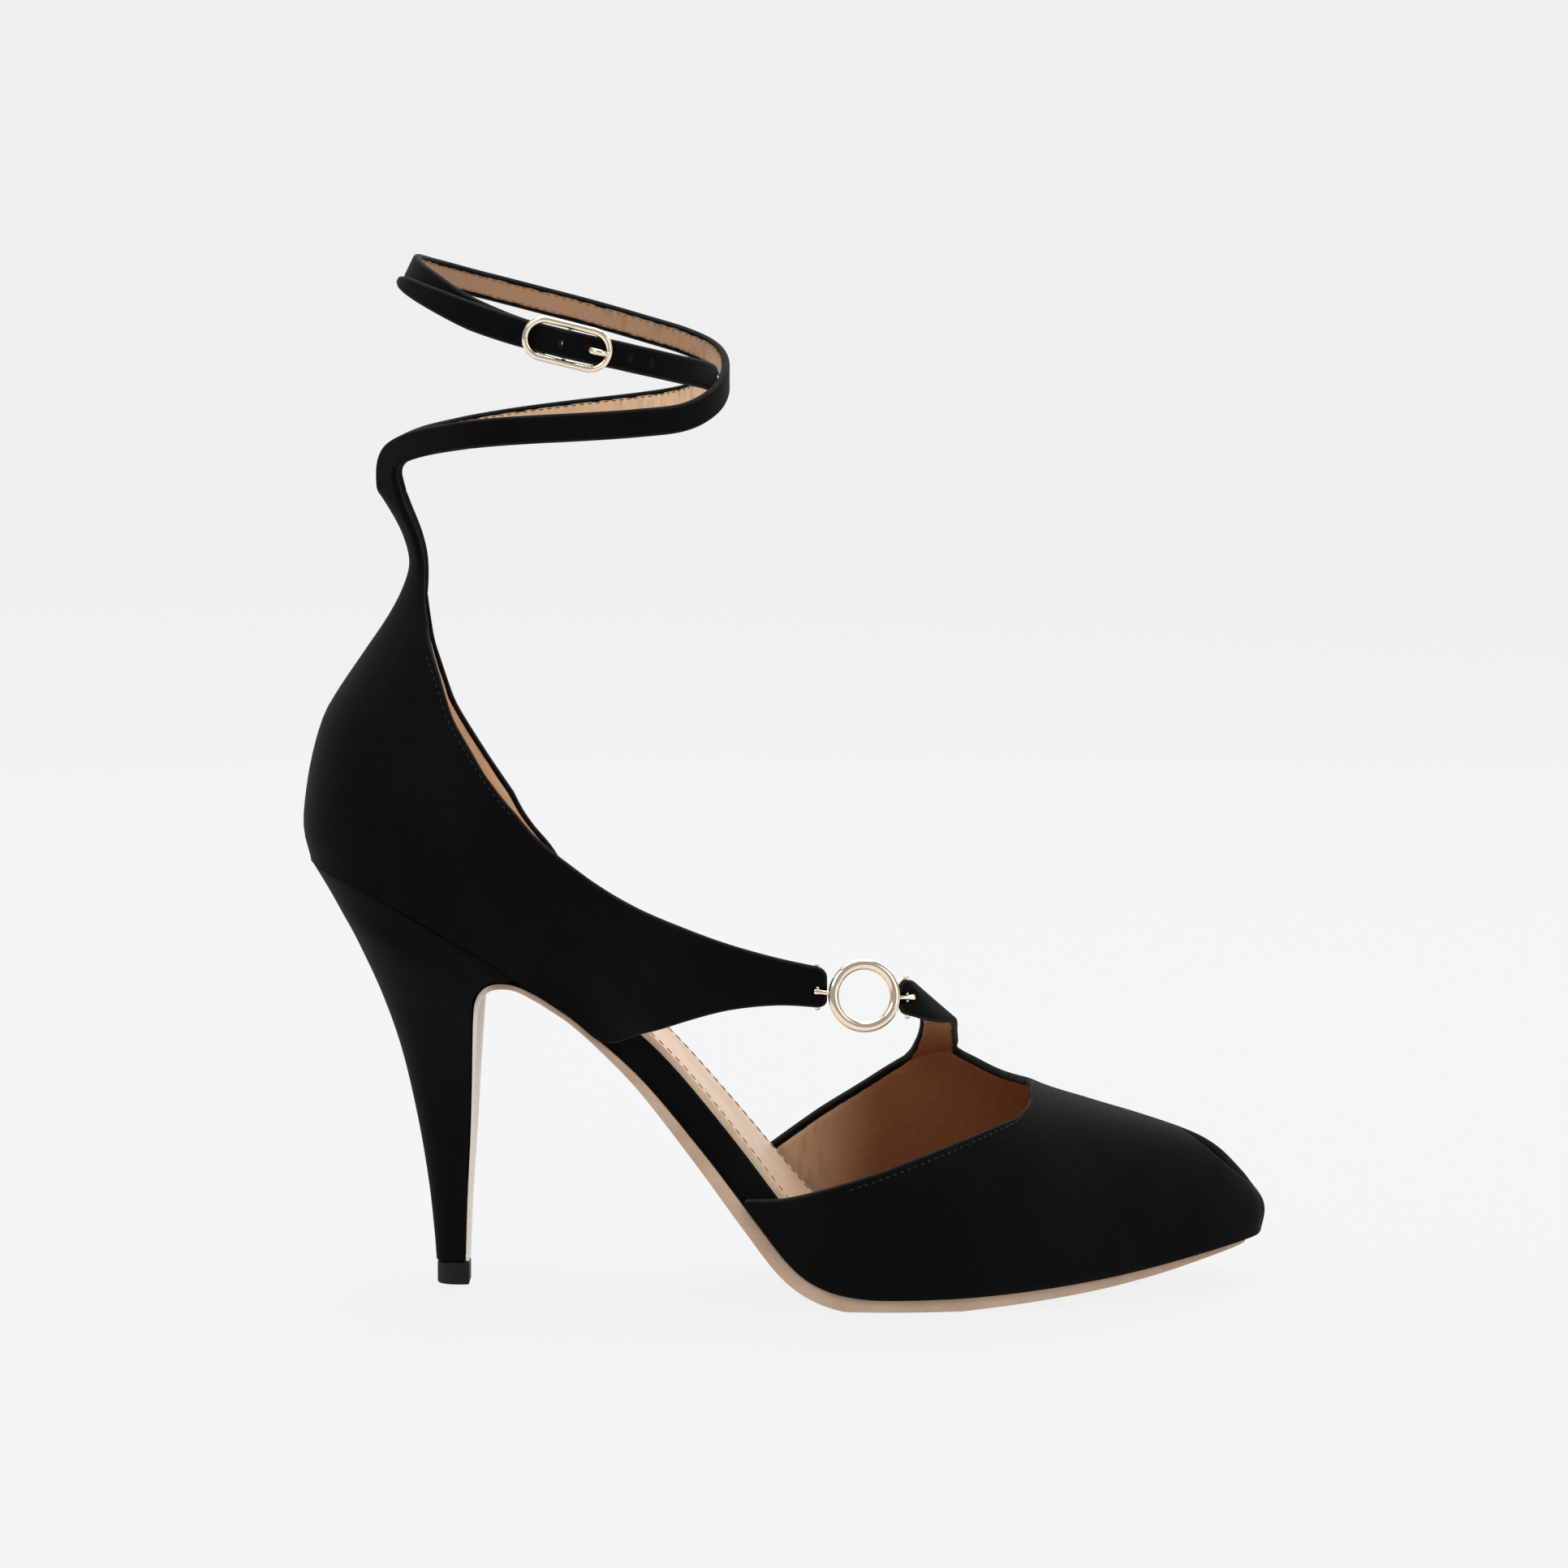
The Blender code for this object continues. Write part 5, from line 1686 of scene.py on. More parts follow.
    def build(self, shop: Workshop, leathers: Leathers) -> list[Array]:
        """Make the vamp and its lining.

        Args:
            shop: Makes pieces.
            leathers: Thicknesses and folds.

        Returns:
            Lines for the stitching below its top edges.
        """
        rows = self.rows()
        patches: list[Patch] = []
        x = np.array([self.line.rows.at(t)[0] for t in rows])
        on = (x > self.strap_back - 1e-4) & (x < self.strap_front + 1e-4)
        for side in Side:
            grid, keep = (np.array(part) for part in zip(*(self.side_line(t, side) for t in rows)))
            fold = self.fold + self.toe_fold * ease(*self.toe_fold_x, grid[..., 0])
            patches.append(Patch(grid, {"fold": fold, "keep": keep}))
        patches.append(self.strap_patch(grid[on, -1]))
        sheet = Sheet.joined(patches, ("fold", "press", "keep"))
        sheet = sheet.cut(sheet.values["keep"]).faced(self.inside)
        sheet = sheet.relaxed(self.smoothing(sheet.points), self.smooth_rounds)
        x = sheet.points[:, 0]
        throat = (x > self.even_from - 1.0) & (x < self.throat_x + 4.0)
        sheet = sheet.scored(np.where(throat, sheet.distance_to_rim(self.free), 50.0), self.rim_levels)
        leathers.dress("vamp_suede", sheet, self.free, shop, ("vamp",))
        return [self.stitch_line(Side.OUTER, *self.outer_seam), self.stitch_line(Side.INNER, *self.inner_seam)]


@dataclass
class AnkleStrap:
    """One flat strap around the ankle. Rows hold angle, reach along x, reach along y, z and lean."""

    rows: Table
    tapered: bool
    ankle_x: float = -48.0
    width: float = 6.0
    thickness: float = 1.7
    base_wider: float = 0.32
    base_rows: float = 7.0 / 3.0
    base_turn: float = 8.0
    tip: float = 0.3
    tip_rows: float = 3.0
    step: float = 1.0 / 3.0
    hole_half: Pair = (0.11, 0.42)
    hole_rows: float = 0.08
    hole_steps: int = 17
    first_row: float = 0.12
    row_steps: int = 16
    end_length: float = 9.0
    seam_rows: Pair = (2.4, 0.4)
    seam_points: int = 300
    seam_lift: float = 0.05

    def centre(self, t: float) -> Array:
        """Middle line of the strap.

        Args:
            t: Row position.

        Returns:
            The point there.
        """
        angle, reach_x, reach_y, z, _ = self.rows.at(t)
        turn = math.radians(angle)
        return np.array((self.ankle_x + reach_x * math.cos(turn), -reach_y * math.sin(turn), z))

    def axes(self, t: float) -> tuple[Array, Array]:
        """Directions out of the strap's face and across it.

        Args:
            t: Row position.

        Returns:
            The two directions.
        """
        centre = self.centre(t)
        along = unit(self.centre(min(t + self.step, self.rows.last)) - self.centre(max(t - self.step, 0.0)))
        out = np.array((along[1], -along[0], 0.0))
        if np.dot(out, centre - np.array((self.ankle_x, 0.0, centre[2]))) < 0.0:
            out = -out
        if t < self.base_rows:
            share = t / self.base_rows
            out = out * share + unit((centre[0] - self.ankle_x, centre[1] * self.base_turn, 0.0)) * (1.0 - share)
        out = unit(out - along * np.dot(out, along))
        wide = np.cross(out, along)
        lean = math.radians(self.rows.at(t)[4])
        out = out * math.cos(lean) + (wide if wide[2] > 0.0 else -wide) * math.sin(lean)
        return out, np.cross(out, along)

    def half(self, t: float) -> float:
        """Width of the strap.

        Args:
            t: Row position.

        Returns:
            Half of the width there.
        """
        half = self.width / 2.0 * (1.0 + self.base_wider * max(0.0, 1.0 - t / self.base_rows))
        left = (self.rows.last - t) / self.tip_rows
        return half * blend(self.tip, 1.0, left ** 0.8) if self.tapered and left < 1.0 else half

    def marks(self, holes: Sequence[float]) -> Array:
        """Rows along the strap, closer together at its end and around holes.

        Args:
            holes: Row positions of holes.

        Returns:
            Rising row positions.
        """
        fine = np.linspace(self.first_row, self.rows.last, int(self.rows.last * self.row_steps))
        tail = self.rows.last - np.array(EDGE_STEPS) / self.end_length
        steps = np.linspace(-self.hole_rows, self.hole_rows, self.hole_steps)
        around_holes = [hole + step for hole in holes for step in steps]
        return np.unique(np.round(np.concatenate([fine, tail, around_holes]), 5))

    def patch(self, start: Array, shares: Array, holes: Sequence[float]) -> Patch:
        """Outer face of the strap.

        Args:
            start: Points of the stem's top that the strap grows from.
            shares: Places across the strap, from -1 to 1.
            holes: Row positions of holes.

        Returns:
            A grid with the distance from the nearest hole as a value.
        """
        grid, clear = [start], [np.ones(len(shares))]
        for t in self.marks(holes):
            out, wide = self.axes(t)
            across = shares * self.half(t)
            grid.append(self.centre(t) + out * self.thickness / 2.0 + wide * across[:, None])
            keep = np.ones(len(shares))
            for hole in holes:
                along = np.linalg.norm(self.centre(t) - self.centre(hole))
                keep = np.minimum(keep, np.hypot(along / self.hole_half[0], across / self.hole_half[1]) - 1.0)
            clear.append(keep)
        return Patch(np.array(grid), {"clear": np.array(clear)})

    def lining_line(self, share: float) -> Array:
        """Line just off the strap's inner face.

        Args:
            share: Place across the strap, from -1 to 1.

        Returns:
            Points of the line.
        """
        line: list[Array] = []
        depth = self.thickness / 2.0 + self.seam_lift
        for t in np.linspace(self.seam_rows[0], self.rows.last - self.seam_rows[1], self.seam_points):
            out, wide = self.axes(t)
            line.append(self.centre(t) - out * depth + wide * share * self.half(t))
        return np.array(line)


Rib = tuple[Side, float, float, float, float]


@dataclass
class Quarter:
    """Back of the upper: heel cup, stem, outer side strap, and the two ankle straps that grow from the stem.

    Rib rows hold lower x, lower z, upper x and upper z. Stem rows hold z and the front edge's x on each side.
    """

    line: SoleLine
    outer_strap: AnkleStrap
    inner_strap: AnkleStrap
    hole_x: tuple[float, ...] = (-28.2, -32.6, -37.0, -41.6, -46.4)
    hole_search: tuple[float, float, int] = (11.0, 18.5, 1200)
    back_length_low: float = 26.0
    back_length_high: float = 20.0
    back_length_from: float = 105.0
    back_length_over: float = 50.0
    seat_widest: float = -76.0
    seat_narrowest: float = -38.0
    seat_z: float = 92.0
    flare_height: float = 18.0
    end_length: float = 9.0
    end_radius: float = 1.9
    back: Table = Table((
        (60, -102.2), (86, -102.2), (92.8, -102.3), (97.7, -103.5), (103, -103.8), (113.6, -102.3),
        (123.3, -99.6), (129.4, -96.3), (138.2, -90.3), (145.7, -85.2), (152.2, -81.9), (157.5, -80.7),
        (163.6, -82.3), (168, -84.8), (172.3, -87), (178.4, -89.6),
    ))
    narrow: Table = Table((
        (60, 1), (104, 1), (115, 0.97), (127, 0.88), (138, 0.76), (148, 0.66), (157, 0.6),
        (166, 0.58), (178, 0.56),
    ))
    flare: Table = Table((
        (-104, 1.2), (-80, 1.6), (-60, 3), (-45, 5.6), (-33, 7.2), (-20, 6.6), (-8, 4.8), (8, 2.2),
    ))
    outer_ribs: Rows = (
        (9.2, 63.2, 9.2, 71.8), (-1, 64, -1, 74.2), (-11.4, 63.2, -11.3, 77.3), (-21, 60.9, -21.5, 81.2),
        (-30, 57.9, -31.5, 85.6), (-38, 55.4, -41, 91.2), (-46, 61.4, -49.5, 97.6),
        (-54, 66.8, -56.5, 105), (-63, 73.2, -62.5, 112.6), (-72, 78.7, -67.8, 121.4),
        (-80, 83.4, -72.4, 132.6), (-87.4, 87.2, -75.6, 142), (-92.2, 89.4, -77.4, 150),
    )
    inner_ribs: Rows = (
        (-30.6, 58.2, -29.6, 59.6), (-34.5, 56.6, -34.2, 66), (-38, 55.4, -40.5, 76.6),
        (-46, 61.4, -47.6, 87), (-54, 66.8, -54.4, 96.6), (-63, 73.2, -61.6, 108),
        (-72, 78.7, -69, 119.6), (-80, 83.4, -74, 130.5), (-87.4, 87.2, -77, 141),
        (-92.2, 89.4, -78.2, 150),
    )
    stem: Table = Table((
        (150, -77.4, -78.2), (154, -77.7, -78), (158, -78.1, -78.2), (161.5, -78.9, -78.9),
        (165, -80.1, -80.1), (168, -81.5, -81.5), (171.4, -83, -83),
    ))
    stem_steps: int = 9
    stem_half: float = 8.0
    stem_columns: int = 10
    rib_steps: int = 9
    rib_points: int = 24
    rib_columns: int = 22
    ankle_z: float = 172.0
    groove_from: float = 5.6
    groove_z: float = 67.1
    groove_half: float = 0.95
    smooth_from: Pair = (162.0, 168.0)
    smooth_to: Pair = (183.0, 188.0)
    smooth_front: Pair = (-70.0, -66.0)
    smooth_back: Pair = (-87.0, -83.0)
    smooth_least: float = 0.12
    smooth_rounds: int = 130
    fold: float = 1.1
    stem_fold: float = 3.95
    stem_fold_z: Pair = (139.0, 149.0)
    strap_fold: float = -4.1
    strap_fold_z: Pair = (179.0, 183.0)
    rim_clear: float = 1.2
    collar_x: float = -58.0
    collar_z: float = 140.0
    seam_below: float = 1.8

    def back_length(self, z: float) -> float:
        """Length of the rounded back at a height."""
        share = clamp((z - self.back_length_from) / self.back_length_over)
        return blend(self.back_length_low, self.back_length_high, share)

    def point(self, p: float, z: float, side: Side) -> Point:
        """Point of the outer face.

        Args:
            p: Turn around the back.
            z: Height.
            side: Side of the foot.

        Returns:
            The point.
        """
        along, width = around(p)
        x = self.back.look(z) + self.back_length(z) * along
        base = self.line.rows.look(clamp(x, self.seat_widest, self.seat_narrowest), side.column)
        flare = self.flare.look(x) * ease(0.0, self.flare_height, z - self.line.height(x))
        return (x, side.value * (base + flare) * self.narrow.look(z) * width, z)

    def turn(self, x: float, z: float) -> float:
        """Turn around the back at a side point."""
        return turn_for(max((x - self.back.look(z)) / self.back_length(z), 0.0))

    def ribs(self, side: Side) -> list[Rib]:
        """Ribs of one side from its front end to the stem.

        Args:
            side: Side of the foot.

        Returns:
            Side, lower turn, lower z, upper turn and upper z of each rib.
        """
        rows = self.outer_ribs if side is Side.OUTER else self.inner_ribs
        table = Table(tuple((self.turn(a, b), b, self.turn(c, d), d) for a, b, c, d in rows))
        close = np.array(EDGE_STEPS) / self.end_length
        ribs: list[Rib] = []
        for t in np.concatenate([close, np.linspace(close[-1], table.last, int(table.last) * self.rib_steps)[1:]]):
            low_p, low_z, up_p, up_z = table.at(t)
            inset = end_inset(self.end_radius, t * self.end_length) if side is Side.OUTER else 0.0
            ribs.append((side, low_p, low_z + inset, up_p, up_z - inset))
        return ribs

    def stem_shares(self) -> Array:
        """Places across one half of the stem, from its front edge to the middle of the back."""
        return spaced(self.stem_half, EDGE_STEPS[:-1], self.stem_columns, True)

    def stem_places(self) -> list[tuple[Side, float]]:
        """Side, and share of the way from the back to the front edge, at places around the stem."""
        shares = 1.0 - self.stem_shares()
        return [(Side.OUTER, f) for f in shares[:-1]] + [(Side.INNER, f) for f in shares[::-1]]

    def stem_patch(self, base: Array) -> Patch:
        """The stem above the ribs.

        Args:
            base: Top points of the ribs that the stem grows from.

        Returns:
            A grid from the ribs to the foot of the ankle straps.
        """
        places = self.stem_places()
        grid = [base]
        steps = int(self.stem.last) * self.stem_steps
        for k in range(1, steps + 1):
            z, outer, inner = self.stem.at(self.stem.last * k / steps)
            fronts = {Side.OUTER: self.turn(outer, z), Side.INNER: self.turn(inner, z)}
            grid.append(np.array([self.point(fronts[side] * f, z, side) for side, f in places]))
        return Patch(np.array(grid), {"clear": np.ones((len(grid), len(places)))})

    def rib_line(self, rib: Rib) -> Array:
        """Points up a rib, close together at both ends.

        Args:
            rib: Side, lower turn, lower z, upper turn and upper z.

        Returns:
            The points.
        """
        side, low_p, low_z, up_p, up_z = rib

        def points(shares: Array) -> Array:
            """Points at shares of the rib."""
            return np.array([self.point(blend(low_p, up_p, f), blend(low_z, up_z, f), side) for f in shares])

        rough = np.linspace(0.0, 1.0, self.rib_points)
        run = lengths(points(rough))
        return points(np.interp(spaced(run[-1], EDGE_STEPS, self.rib_columns, True) * run[-1], run, rough))

    def hole_rows(self) -> list[float]:
        """Holes of the inner strap, where it passes along the outer side.

        Returns:
            Their row positions.
        """
        rows = np.linspace(*self.hole_search)
        x = np.array([self.inner_strap.centre(t)[0] for t in rows])
        return [float(rows[np.argmin(np.abs(x - place))]) for place in self.hole_x]

    def back_ribs(self, outer: Rib, inner: Rib) -> list[Rib]:
        """Ribs around the back.

        Args:
            outer: Last rib of the outer side.
            inner: Last rib of the inner side.

        Returns:
            The ribs between them.
        """
        ribs: list[Rib] = []
        for side, f in self.stem_places()[1:-1]:
            edge = outer if side is Side.OUTER else inner
            low_p = outer[1] * f
            low_z = self.line.height(self.back.look(self.seat_z) + self.back_length_low * around(low_p)[0])
            ribs.append((side, low_p, low_z, edge[3] * f, edge[4]))
        return ribs

    def inside(self, middles: Array) -> Array:
        """Points within the heel cup or the ankle loop.

        Args:
            middles: Middles of faces.

        Returns:
            A point for each of them.
        """
        x, _, z = middles.T
        ankle = z > self.ankle_z
        x = np.where(ankle, self.outer_strap.ankle_x, np.maximum(x, -70.0))
        return np.stack((x, np.zeros_like(x), np.where(ankle, z, z - 5.0)), axis=1)

    def free(self, middles: Array) -> Array:
        """Whether rim edges don't lie along the sole."""
        return self.line.clearance(middles) > self.rim_clear

    def build(self, shop: Workshop, leathers: Leathers) -> list[Array]:
        """Make the back of the upper with its straps, and their lining.

        Args:
            shop: Makes pieces.
            leathers: Thicknesses and folds.

        Returns:
            Lines for the stitching below the collar.
        """
        outer, inner = self.ribs(Side.OUTER), self.ribs(Side.INNER)
        ordered = outer + self.back_ribs(outer[-1], inner[-1]) + inner[::-1]
        grid = np.array([self.rib_line(rib) for rib in ordered])
        shares = self.stem_shares()
        half, first = len(shares) - 1, len(outer) - 1
        stem = self.stem_patch(grid[first:first + 2 * half + 1, -1])
        top, across = stem.grid[-1], shares * 2.0 - 1.0
        press = groove(grid, self.groove_from + self.groove_half, self.groove_z, self.groove_half, 1.0)
        press *= (grid[..., 1] < 0.0) & (grid[..., 0] > 0.0)
        patches = [
            Patch(grid, {"clear": np.ones(grid.shape[:2]), "press": press}),
            stem,
            self.outer_strap.patch(top[:half + 1], across, ()),
            self.inner_strap.patch(top[half:][::-1], -across, self.hole_rows()),
        ]
        sheet = Sheet.joined(patches, ("fold", "press", "clear")).faced(self.inside)
        x, _, z = sheet.points.T
        mask = ease(*self.smooth_from, z) * (1.0 - ease(*self.smooth_to, z)) * (1.0 - ease(*self.smooth_front, x))
        share = self.smooth_least + (1.0 - self.smooth_least) * ease(*self.smooth_back, x)
        sheet = sheet.relaxed(mask * share, self.smooth_rounds)
        z = sheet.points[:, 2]
        fold = self.fold + self.stem_fold * ease(*self.stem_fold_z, z) + self.strap_fold * ease(*self.strap_fold_z, z)
        sheet.values["fold"] = fold
        sheet = sheet.cut(sheet.values["clear"])
        nodes = ("quarter", "ankle_strap_outer", "ankle_strap_inner")
        leathers.dress("quarter_suede", sheet, self.free, shop, nodes)
        edge, line = grid[:, -1], grid[:, -1 - EDGE_STEPS.index(self.seam_below)]
        collar = (edge[:, 0] < self.collar_x) & (edge[:, 2] < self.collar_z)
        return [line[collar & (edge[:, 1] < 0.0)], line[collar & (edge[:, 1] > 0.0)]]


# Metal fittings


@dataclass
class RingLink:
    """Plain ring between the outer side strap and the instep strap, with lugs and cross bars in the strap ends."""

    centre: Point = (17.1, -22.4, 65.9)
    along: Point = (15.6, 3.0, -1.4)
    upright: Point = (0.0, 0.2, 0.98)
    radius: float = 6.7
    tube: Pair = (0.95, 1.15)
    steps: int = 96
    lug_steps: int = 13
    lug_waist: float = 0.5
    lug_tip: float = 0.82
    lug_flat: float = 0.8
    lug_power: float = 2.2
    bar_radius: float = 0.6
    lug_ends: tuple[Point, Point] = ((6.5, -23.3, 66.9), (27.8, -18.9, 65.05))
    bars: tuple[Point, Point] = ((7.1, -22.2, 67.8), (26.2, -18.5, 65.1))
    bar_lean: tuple[Point, Point] = ((0.0, 0.0, 1.0), (-0.03, 0.1, 1.0))
    bar_half: Pair = (5.1, 4.7)

    def build(self, shop: Workshop) -> None:
        """Make the ring with its lugs and bars.

        Args:
            shop: Makes pieces.
        """
        centre, along, upright = np.array(self.centre), unit(self.along), np.array(self.upright)
        upright = unit(upright - along * np.dot(upright, along))
        out = np.cross(along, upright)
        turns = [2.0 * math.pi * k / self.steps for k in range(self.steps)]
        loop = [centre + self.radius * (math.cos(a) * along + math.sin(a) * upright) for a in turns]
        shapes = [bar(loop, out, [self.tube] * self.steps, TUBE_SIDES, True)]
        steps = np.linspace(0.0, 1.0, self.lug_steps)
        waist = [blend(self.lug_waist, self.lug_tip, abs(2.0 * f - 1.0) ** self.lug_power) for f in steps]
        waist[-1] *= self.lug_flat
        for sign, tip, seat, lean, half in zip((-1.0, 1.0), self.lug_ends, self.bars, self.bar_lean, self.bar_half):
            start = centre + along * sign * self.radius
            lug = [blend(start, np.array(tip), f) for f in steps]
            side = unit(np.cross(lug[-1] - start, upright))
            shapes.append(bar(lug, side, [(self.lug_flat * w, w) for w in waist], LUG_SIDES))
            places, sizes = domed(self.bar_radius, half)
            spine = [np.array(seat) + unit(lean) * s for s in places]
            shapes.append(bar(spine, out, [(s, s) for s in sizes], BAR_SIDES))
        shop.piece("ring_link", merged(shapes), GILT, ("ring",), turned=True, sharp=60.0)


@dataclass
class Buckle:
    """Plain oval buckle with a middle bar and a prong."""

    centre: Point = (-45.3, -32.0, 204.3)
    half_length: float = 8.9
    half_height: float = 4.0
    tube: Pair = (0.72, 0.74)
    steps: int = 30
    slope: float = 13.8
    bar_radius: float = 0.55
    bar_wider: float = 1.15
    bar_drop: float = 1.2
    prong_run: tuple[float, ...] = (3.6, 4.5, 5.2, 6.0, 6.9, 7.8, 8.6, 9.2)
    prong_lift: tuple[float, ...] = (-0.6, 0.5, 1.5, 2.1, 2.25, 1.95, 1.5, 1.1)
    prong_width: tuple[float, ...] = (0.5, 0.62, 0.66, 0.66, 0.64, 0.6, 0.5, 0.2)
    prong_flat: float = 0.72

    def build(self, shop: Workshop) -> None:
        """Make the frame with its bar, and the prong.

        Args:
            shop: Makes pieces.
        """
        centre, out, slope = np.array(self.centre), np.array((0.0, -1.0, 0.0)), math.radians(self.slope)
        along = np.array((math.cos(slope), 0.0, -math.sin(slope)))
        upright = np.array((math.sin(slope), 0.0, math.cos(slope)))
        straight = self.half_length - self.half_height
        loop: list[Array] = []
        for start, sign in ((-90.0, 1.0), (90.0, -1.0)):
            for k in range(self.steps + 1):
                turn = math.radians(start + 180.0 * k / self.steps)
                run = sign * straight + self.half_height * math.cos(turn)
                loop.append(centre + along * run + upright * self.half_height * math.sin(turn))
        places, sizes = domed(self.bar_radius, self.half_height)
        spine = [centre - out * self.bar_drop + upright * s for s in places]
        frame_shape = merged([bar(loop, out, [self.tube] * len(loop), TUBE_SIDES, True),
                              bar(spine, out, [(s * self.bar_wider, s) for s in sizes], BAR_SIDES)])
        path = [centre + along * run + out * lift for run, lift in zip(self.prong_run, self.prong_lift)]
        prong = bar(path, upright, [(w, self.prong_flat * w) for w in self.prong_width], LUG_SIDES)
        shop.piece("buckle_frame", frame_shape, GILT, ("buckle",), turned=True, sharp=60.0)
        shop.piece("buckle_tongue", prong, GILT, ("buckle_prong",), turned=True, sharp=60.0)


# Studio


@dataclass
class Studio:
    """Pale sweep, soft lights and the camera.

    Lights hold name, place, aim, width, height and power.
    """

    image: float = 1932.0
    focal: float = 6840.0
    distance: float = 1200.0
    elevation: float = 5.5
    aim_height: float = 109.0
    sensor: float = 36.0
    far: float = 20.0
    sweep: Colour = (0.03, 0.0303, 0.031)
    sweep_front: float = -4.0
    sweep_bend: float = 1.2
    sweep_radius: float = 1.4
    sweep_top: float = 4.5
    sweep_half: float = 5.0
    sweep_steps: int = 12
    glow: float = 0.85
    glow_tint: Colour = (0.985, 0.99, 1.0)
    world: float = 0.38
    world_tint: Colour = (0.97, 0.98, 1.0)
    lights: tuple[tuple[str, Point, Point, float, float, float], ...] = (
        ("key", (-0.70, -1.00, 1.10), (0.0, 0.0, 0.10), 0.7, 0.7, 7.2),
        ("fill", (1.15, -0.85, 0.60), (0.0, 0.0, 0.09), 0.6, 0.9, 3.0),
        ("top", (0.0, 0.10, 1.25), (0.0, 0.0, 0.10), 1.1, 0.8, 13.0),
        ("rim", (0.35, 1.05, 0.75), (0.0, 0.0, 0.12), 1.2, 0.5, 6.0),
    )

    def floor(self) -> None:
        """A pale floor that sweeps up behind the shoe."""
        graph = Graph("paper_sweep")
        tooth, tone = graph.noise(900.0, 3.0, 0.6), graph.noise(3.0, 2.0, 0.5)
        material = graph.finished({
            "Base Color": graph.mix(tone * 0.5 + tooth * 0.2, self.sweep, tuple(c * 0.985 for c in self.sweep)),
            "Roughness": 0.9 + tooth * 0.08,
            "Specular IOR Level": 0.1, "Emission Color": self.glow_tint, "Emission Strength": self.glow,
        })
        bend, radius = self.sweep_bend, self.sweep_radius
        turns = [math.pi / 2.0 * k / self.sweep_steps for k in range(self.sweep_steps + 1)]
        arc = [(bend + radius * math.sin(a), radius * (1.0 - math.cos(a))) for a in turns]
        profile = [(self.sweep_front, 0.0), *arc, (bend + radius, self.sweep_top)]
        points = [(x, y, z) for y, z in profile for x in (-self.sweep_half, self.sweep_half)]
        faces = [(2 * k, 2 * k + 1, 2 * k + 3, 2 * k + 2) for k in range(len(profile) - 1)]
        data = bpy.data.meshes.new("paper_sweep")
        data.from_pydata(points, [], faces)
        data.shade_smooth()
        data.materials.append(material)
        self.stood("paper_sweep", data)

    @staticmethod
    def stood(name: str, data: bpy.types.ID | None, place: Vector | None = None,
              aim: Vector | None = None) -> bpy.types.Object:
        """An object of the studio.

        Args:
            name: Its name.
            data: Its mesh, lamp or camera.
            place: Where it stands, if not at the origin.
            aim: What it looks at.

        Returns:
            The object.
        """
        thing = bpy.data.objects.new(name, data)
        if place and aim:
            thing.location = place
            thing.rotation_euler = (aim - place).to_track_quat("-Z", "Y").to_euler()
        bpy.context.scene.collection.objects.link(thing)
        return thing

    def lamps(self) -> None:
        """Soft boxes around the shoe and an even surround."""
        for name, place, aim, width, height, power in self.lights:
            lamp = bpy.data.lights.new(name, "AREA")
            lamp.shape = "RECTANGLE"
            lamp.size, lamp.size_y, lamp.energy = width, height, power
            self.stood(name, lamp, Vector(place), Vector(aim))
        world = bpy.data.worlds.new("studio")
        world.use_nodes = True
        background = world.node_tree.nodes["Background"]
        background.inputs["Color"].default_value = (*self.world_tint, 1.0)
        background.inputs["Strength"].default_value = self.world
        bpy.context.scene.world = world

    def camera(self, shop: Workshop) -> None:
        """A long lens at the outer side of the shoe, a little above it.

        Args:
            shop: Places the aim.
        """
        lens = bpy.data.cameras.new("camera")
        lens.sensor_width = self.sensor
        lens.lens = self.focal / self.image * self.sensor
        lens.clip_end = self.far
        turn = math.radians(self.elevation)
        aim = Vector(shop.placed(np.array((0.0, 0.0, self.aim_height))))
        back = Vector((0.0, -math.cos(turn), math.sin(turn))) * self.distance * MM
        bpy.context.scene.camera = self.stood("camera", lens, aim + back, aim)

    def build(self, shop: Workshop) -> None:
        """Set the stage.

        Args:
            shop: Places the camera's aim.
        """
        self.floor()
        self.lamps()
        self.camera(shop)
        view = bpy.context.scene.view_settings
        view.view_transform, view.look, view.exposure = "Standard", "None", 0.0


OUTER_STRAP_ROWS = Table((
    (172, 36.9, 28.7, 172.7, 0), (171.4, 37.6, 29.2, 176.4, 0), (166.2, 36.9, 28.9, 180.4, 0),
    (152, 35, 28.9, 182.7, 0), (138, 34.2, 29.3, 184, 0), (118, 34.2, 29.3, 185.5, 0),
    (99, 34.8, 29.5, 186.4, 0), (80, 35, 29.5, 187, 0), (60, 35.2, 29, 187.7, 0),
    (40, 35.4, 28.5, 188.8, 0), (20, 35.5, 28, 192.2, 0), (0, 35.5, 28, 196.8, 0),
    (-20, 35.5, 28, 200.9, 0), (-40, 35.2, 28.5, 204, 0), (-60, 35, 29, 206.8, 4),
    (-90, 34.5, 29.5, 211.6, 10), (-120, 33.6, 29, 216, 18), (-150, 32.4, 28, 219.2, 24),
    (-180, 31.6, 27.5, 220.2, 26), (-210, 32, 27.2, 217, 22), (-235, 33.2, 27.2, 211.6, 12),
    (-255, 34, 27.5, 207.3, 4), (-268, 34, 27.7, 204.9, 0),
))

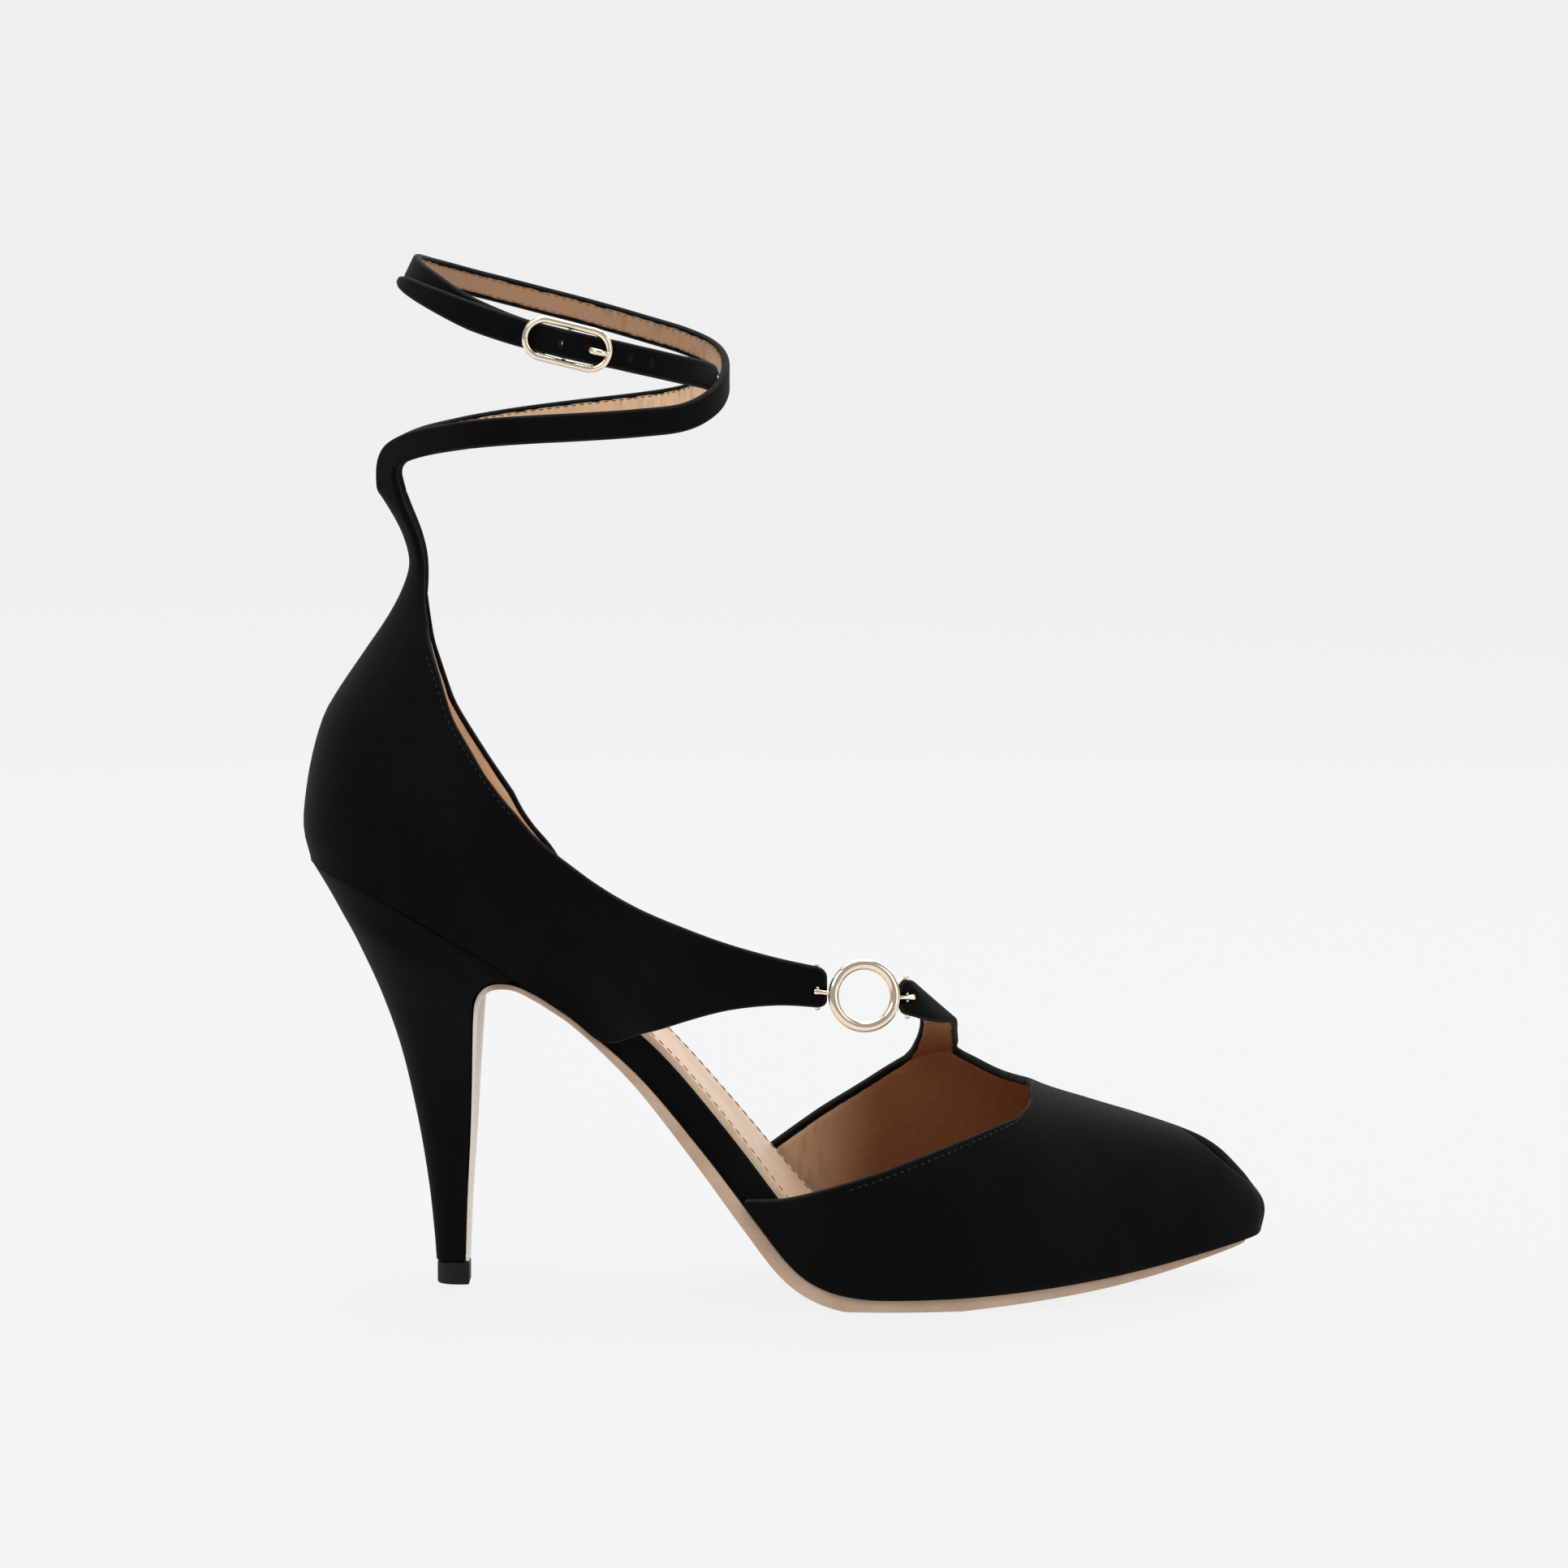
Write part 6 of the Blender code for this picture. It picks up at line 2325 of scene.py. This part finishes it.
INNER_STRAP_ROWS = Table((
    (-172, 36.9, 28.7, 172.7, 0), (-171.4, 37.6, 29.2, 176.4, 0), (-166.2, 36.9, 28.9, 180.4, 0),
    (-152, 35, 28.9, 182.7, 0), (-138, 34.2, 29.3, 184, 0), (-118, 34.2, 29.3, 185.7, 0),
    (-99, 34.8, 29.5, 187.2, 0), (-80, 35, 29.5, 188.6, 0), (-60, 34.5, 28.8, 190, 0),
    (-40, 33.7, 27.2, 191.6, 0), (-20, 33.1, 25.8, 193.8, 0), (0, 32.9, 25.5, 196, 0),
    (20, 33.1, 25.8, 197.4, 0), (40, 33.8, 27.4, 198.8, 0), (58, 34.6, 29.4, 200.7, 0),
    (69, 35, 30, 202.1, 0), (76.5, 35, 30.7, 203, 0), (85.6, 35.4, 32.5, 204.3, 0),
    (95, 35.8, 30.4, 205.7, 0), (104, 36, 29.8, 207.2, 2), (118, 36, 30.4, 209.9, 8),
    (136, 35.8, 30.8, 213.6, 16), (153, 35.6, 31.2, 216.4, 22), (166, 34.7, 31.2, 217.4, 25),
))

# Places of the seams across the ankle straps, from -1 to 1
STRAP_SEAMS = (-0.6, 0.6)


def main() -> None:
    """Build the shoe, sew it and set the stage."""
    logging.basicConfig(level=logging.INFO, format="%(name)s: %(message)s")
    shop, leathers, line = Workshop(), Leathers(), SoleLine()
    stitches = StitchRow(shop)
    straps = (AnkleStrap(OUTER_STRAP_ROWS, False), AnkleStrap(INNER_STRAP_ROWS, True))

    sole = SoleUnit(line)
    sole.build(shop)
    Heel(line).build(shop)
    seams = Vamp(line).build(shop, leathers) + Quarter(line, *straps).build(shop, leathers)
    RingLink().build(shop)
    Buckle().build(shop)

    strap_lines = [strap.lining_line(share) for strap in straps for share in STRAP_SEAMS]
    stitches.sew("edge_stitches", seams, DARK_THREAD, pitch=1.6, length=0.85, radius=0.11, seed=3)
    stitches.sew("insole_stitches", sole.stitch_lines(), TAN_THREAD, pitch=2.5, length=1.7, radius=0.16, seed=5)
    stitches.sew("strap_stitches", strap_lines, TAN_THREAD, pitch=1.8, length=1.1, radius=0.13, seed=7)

    Studio().build(shop)


if __name__ == "__main__":
    main()
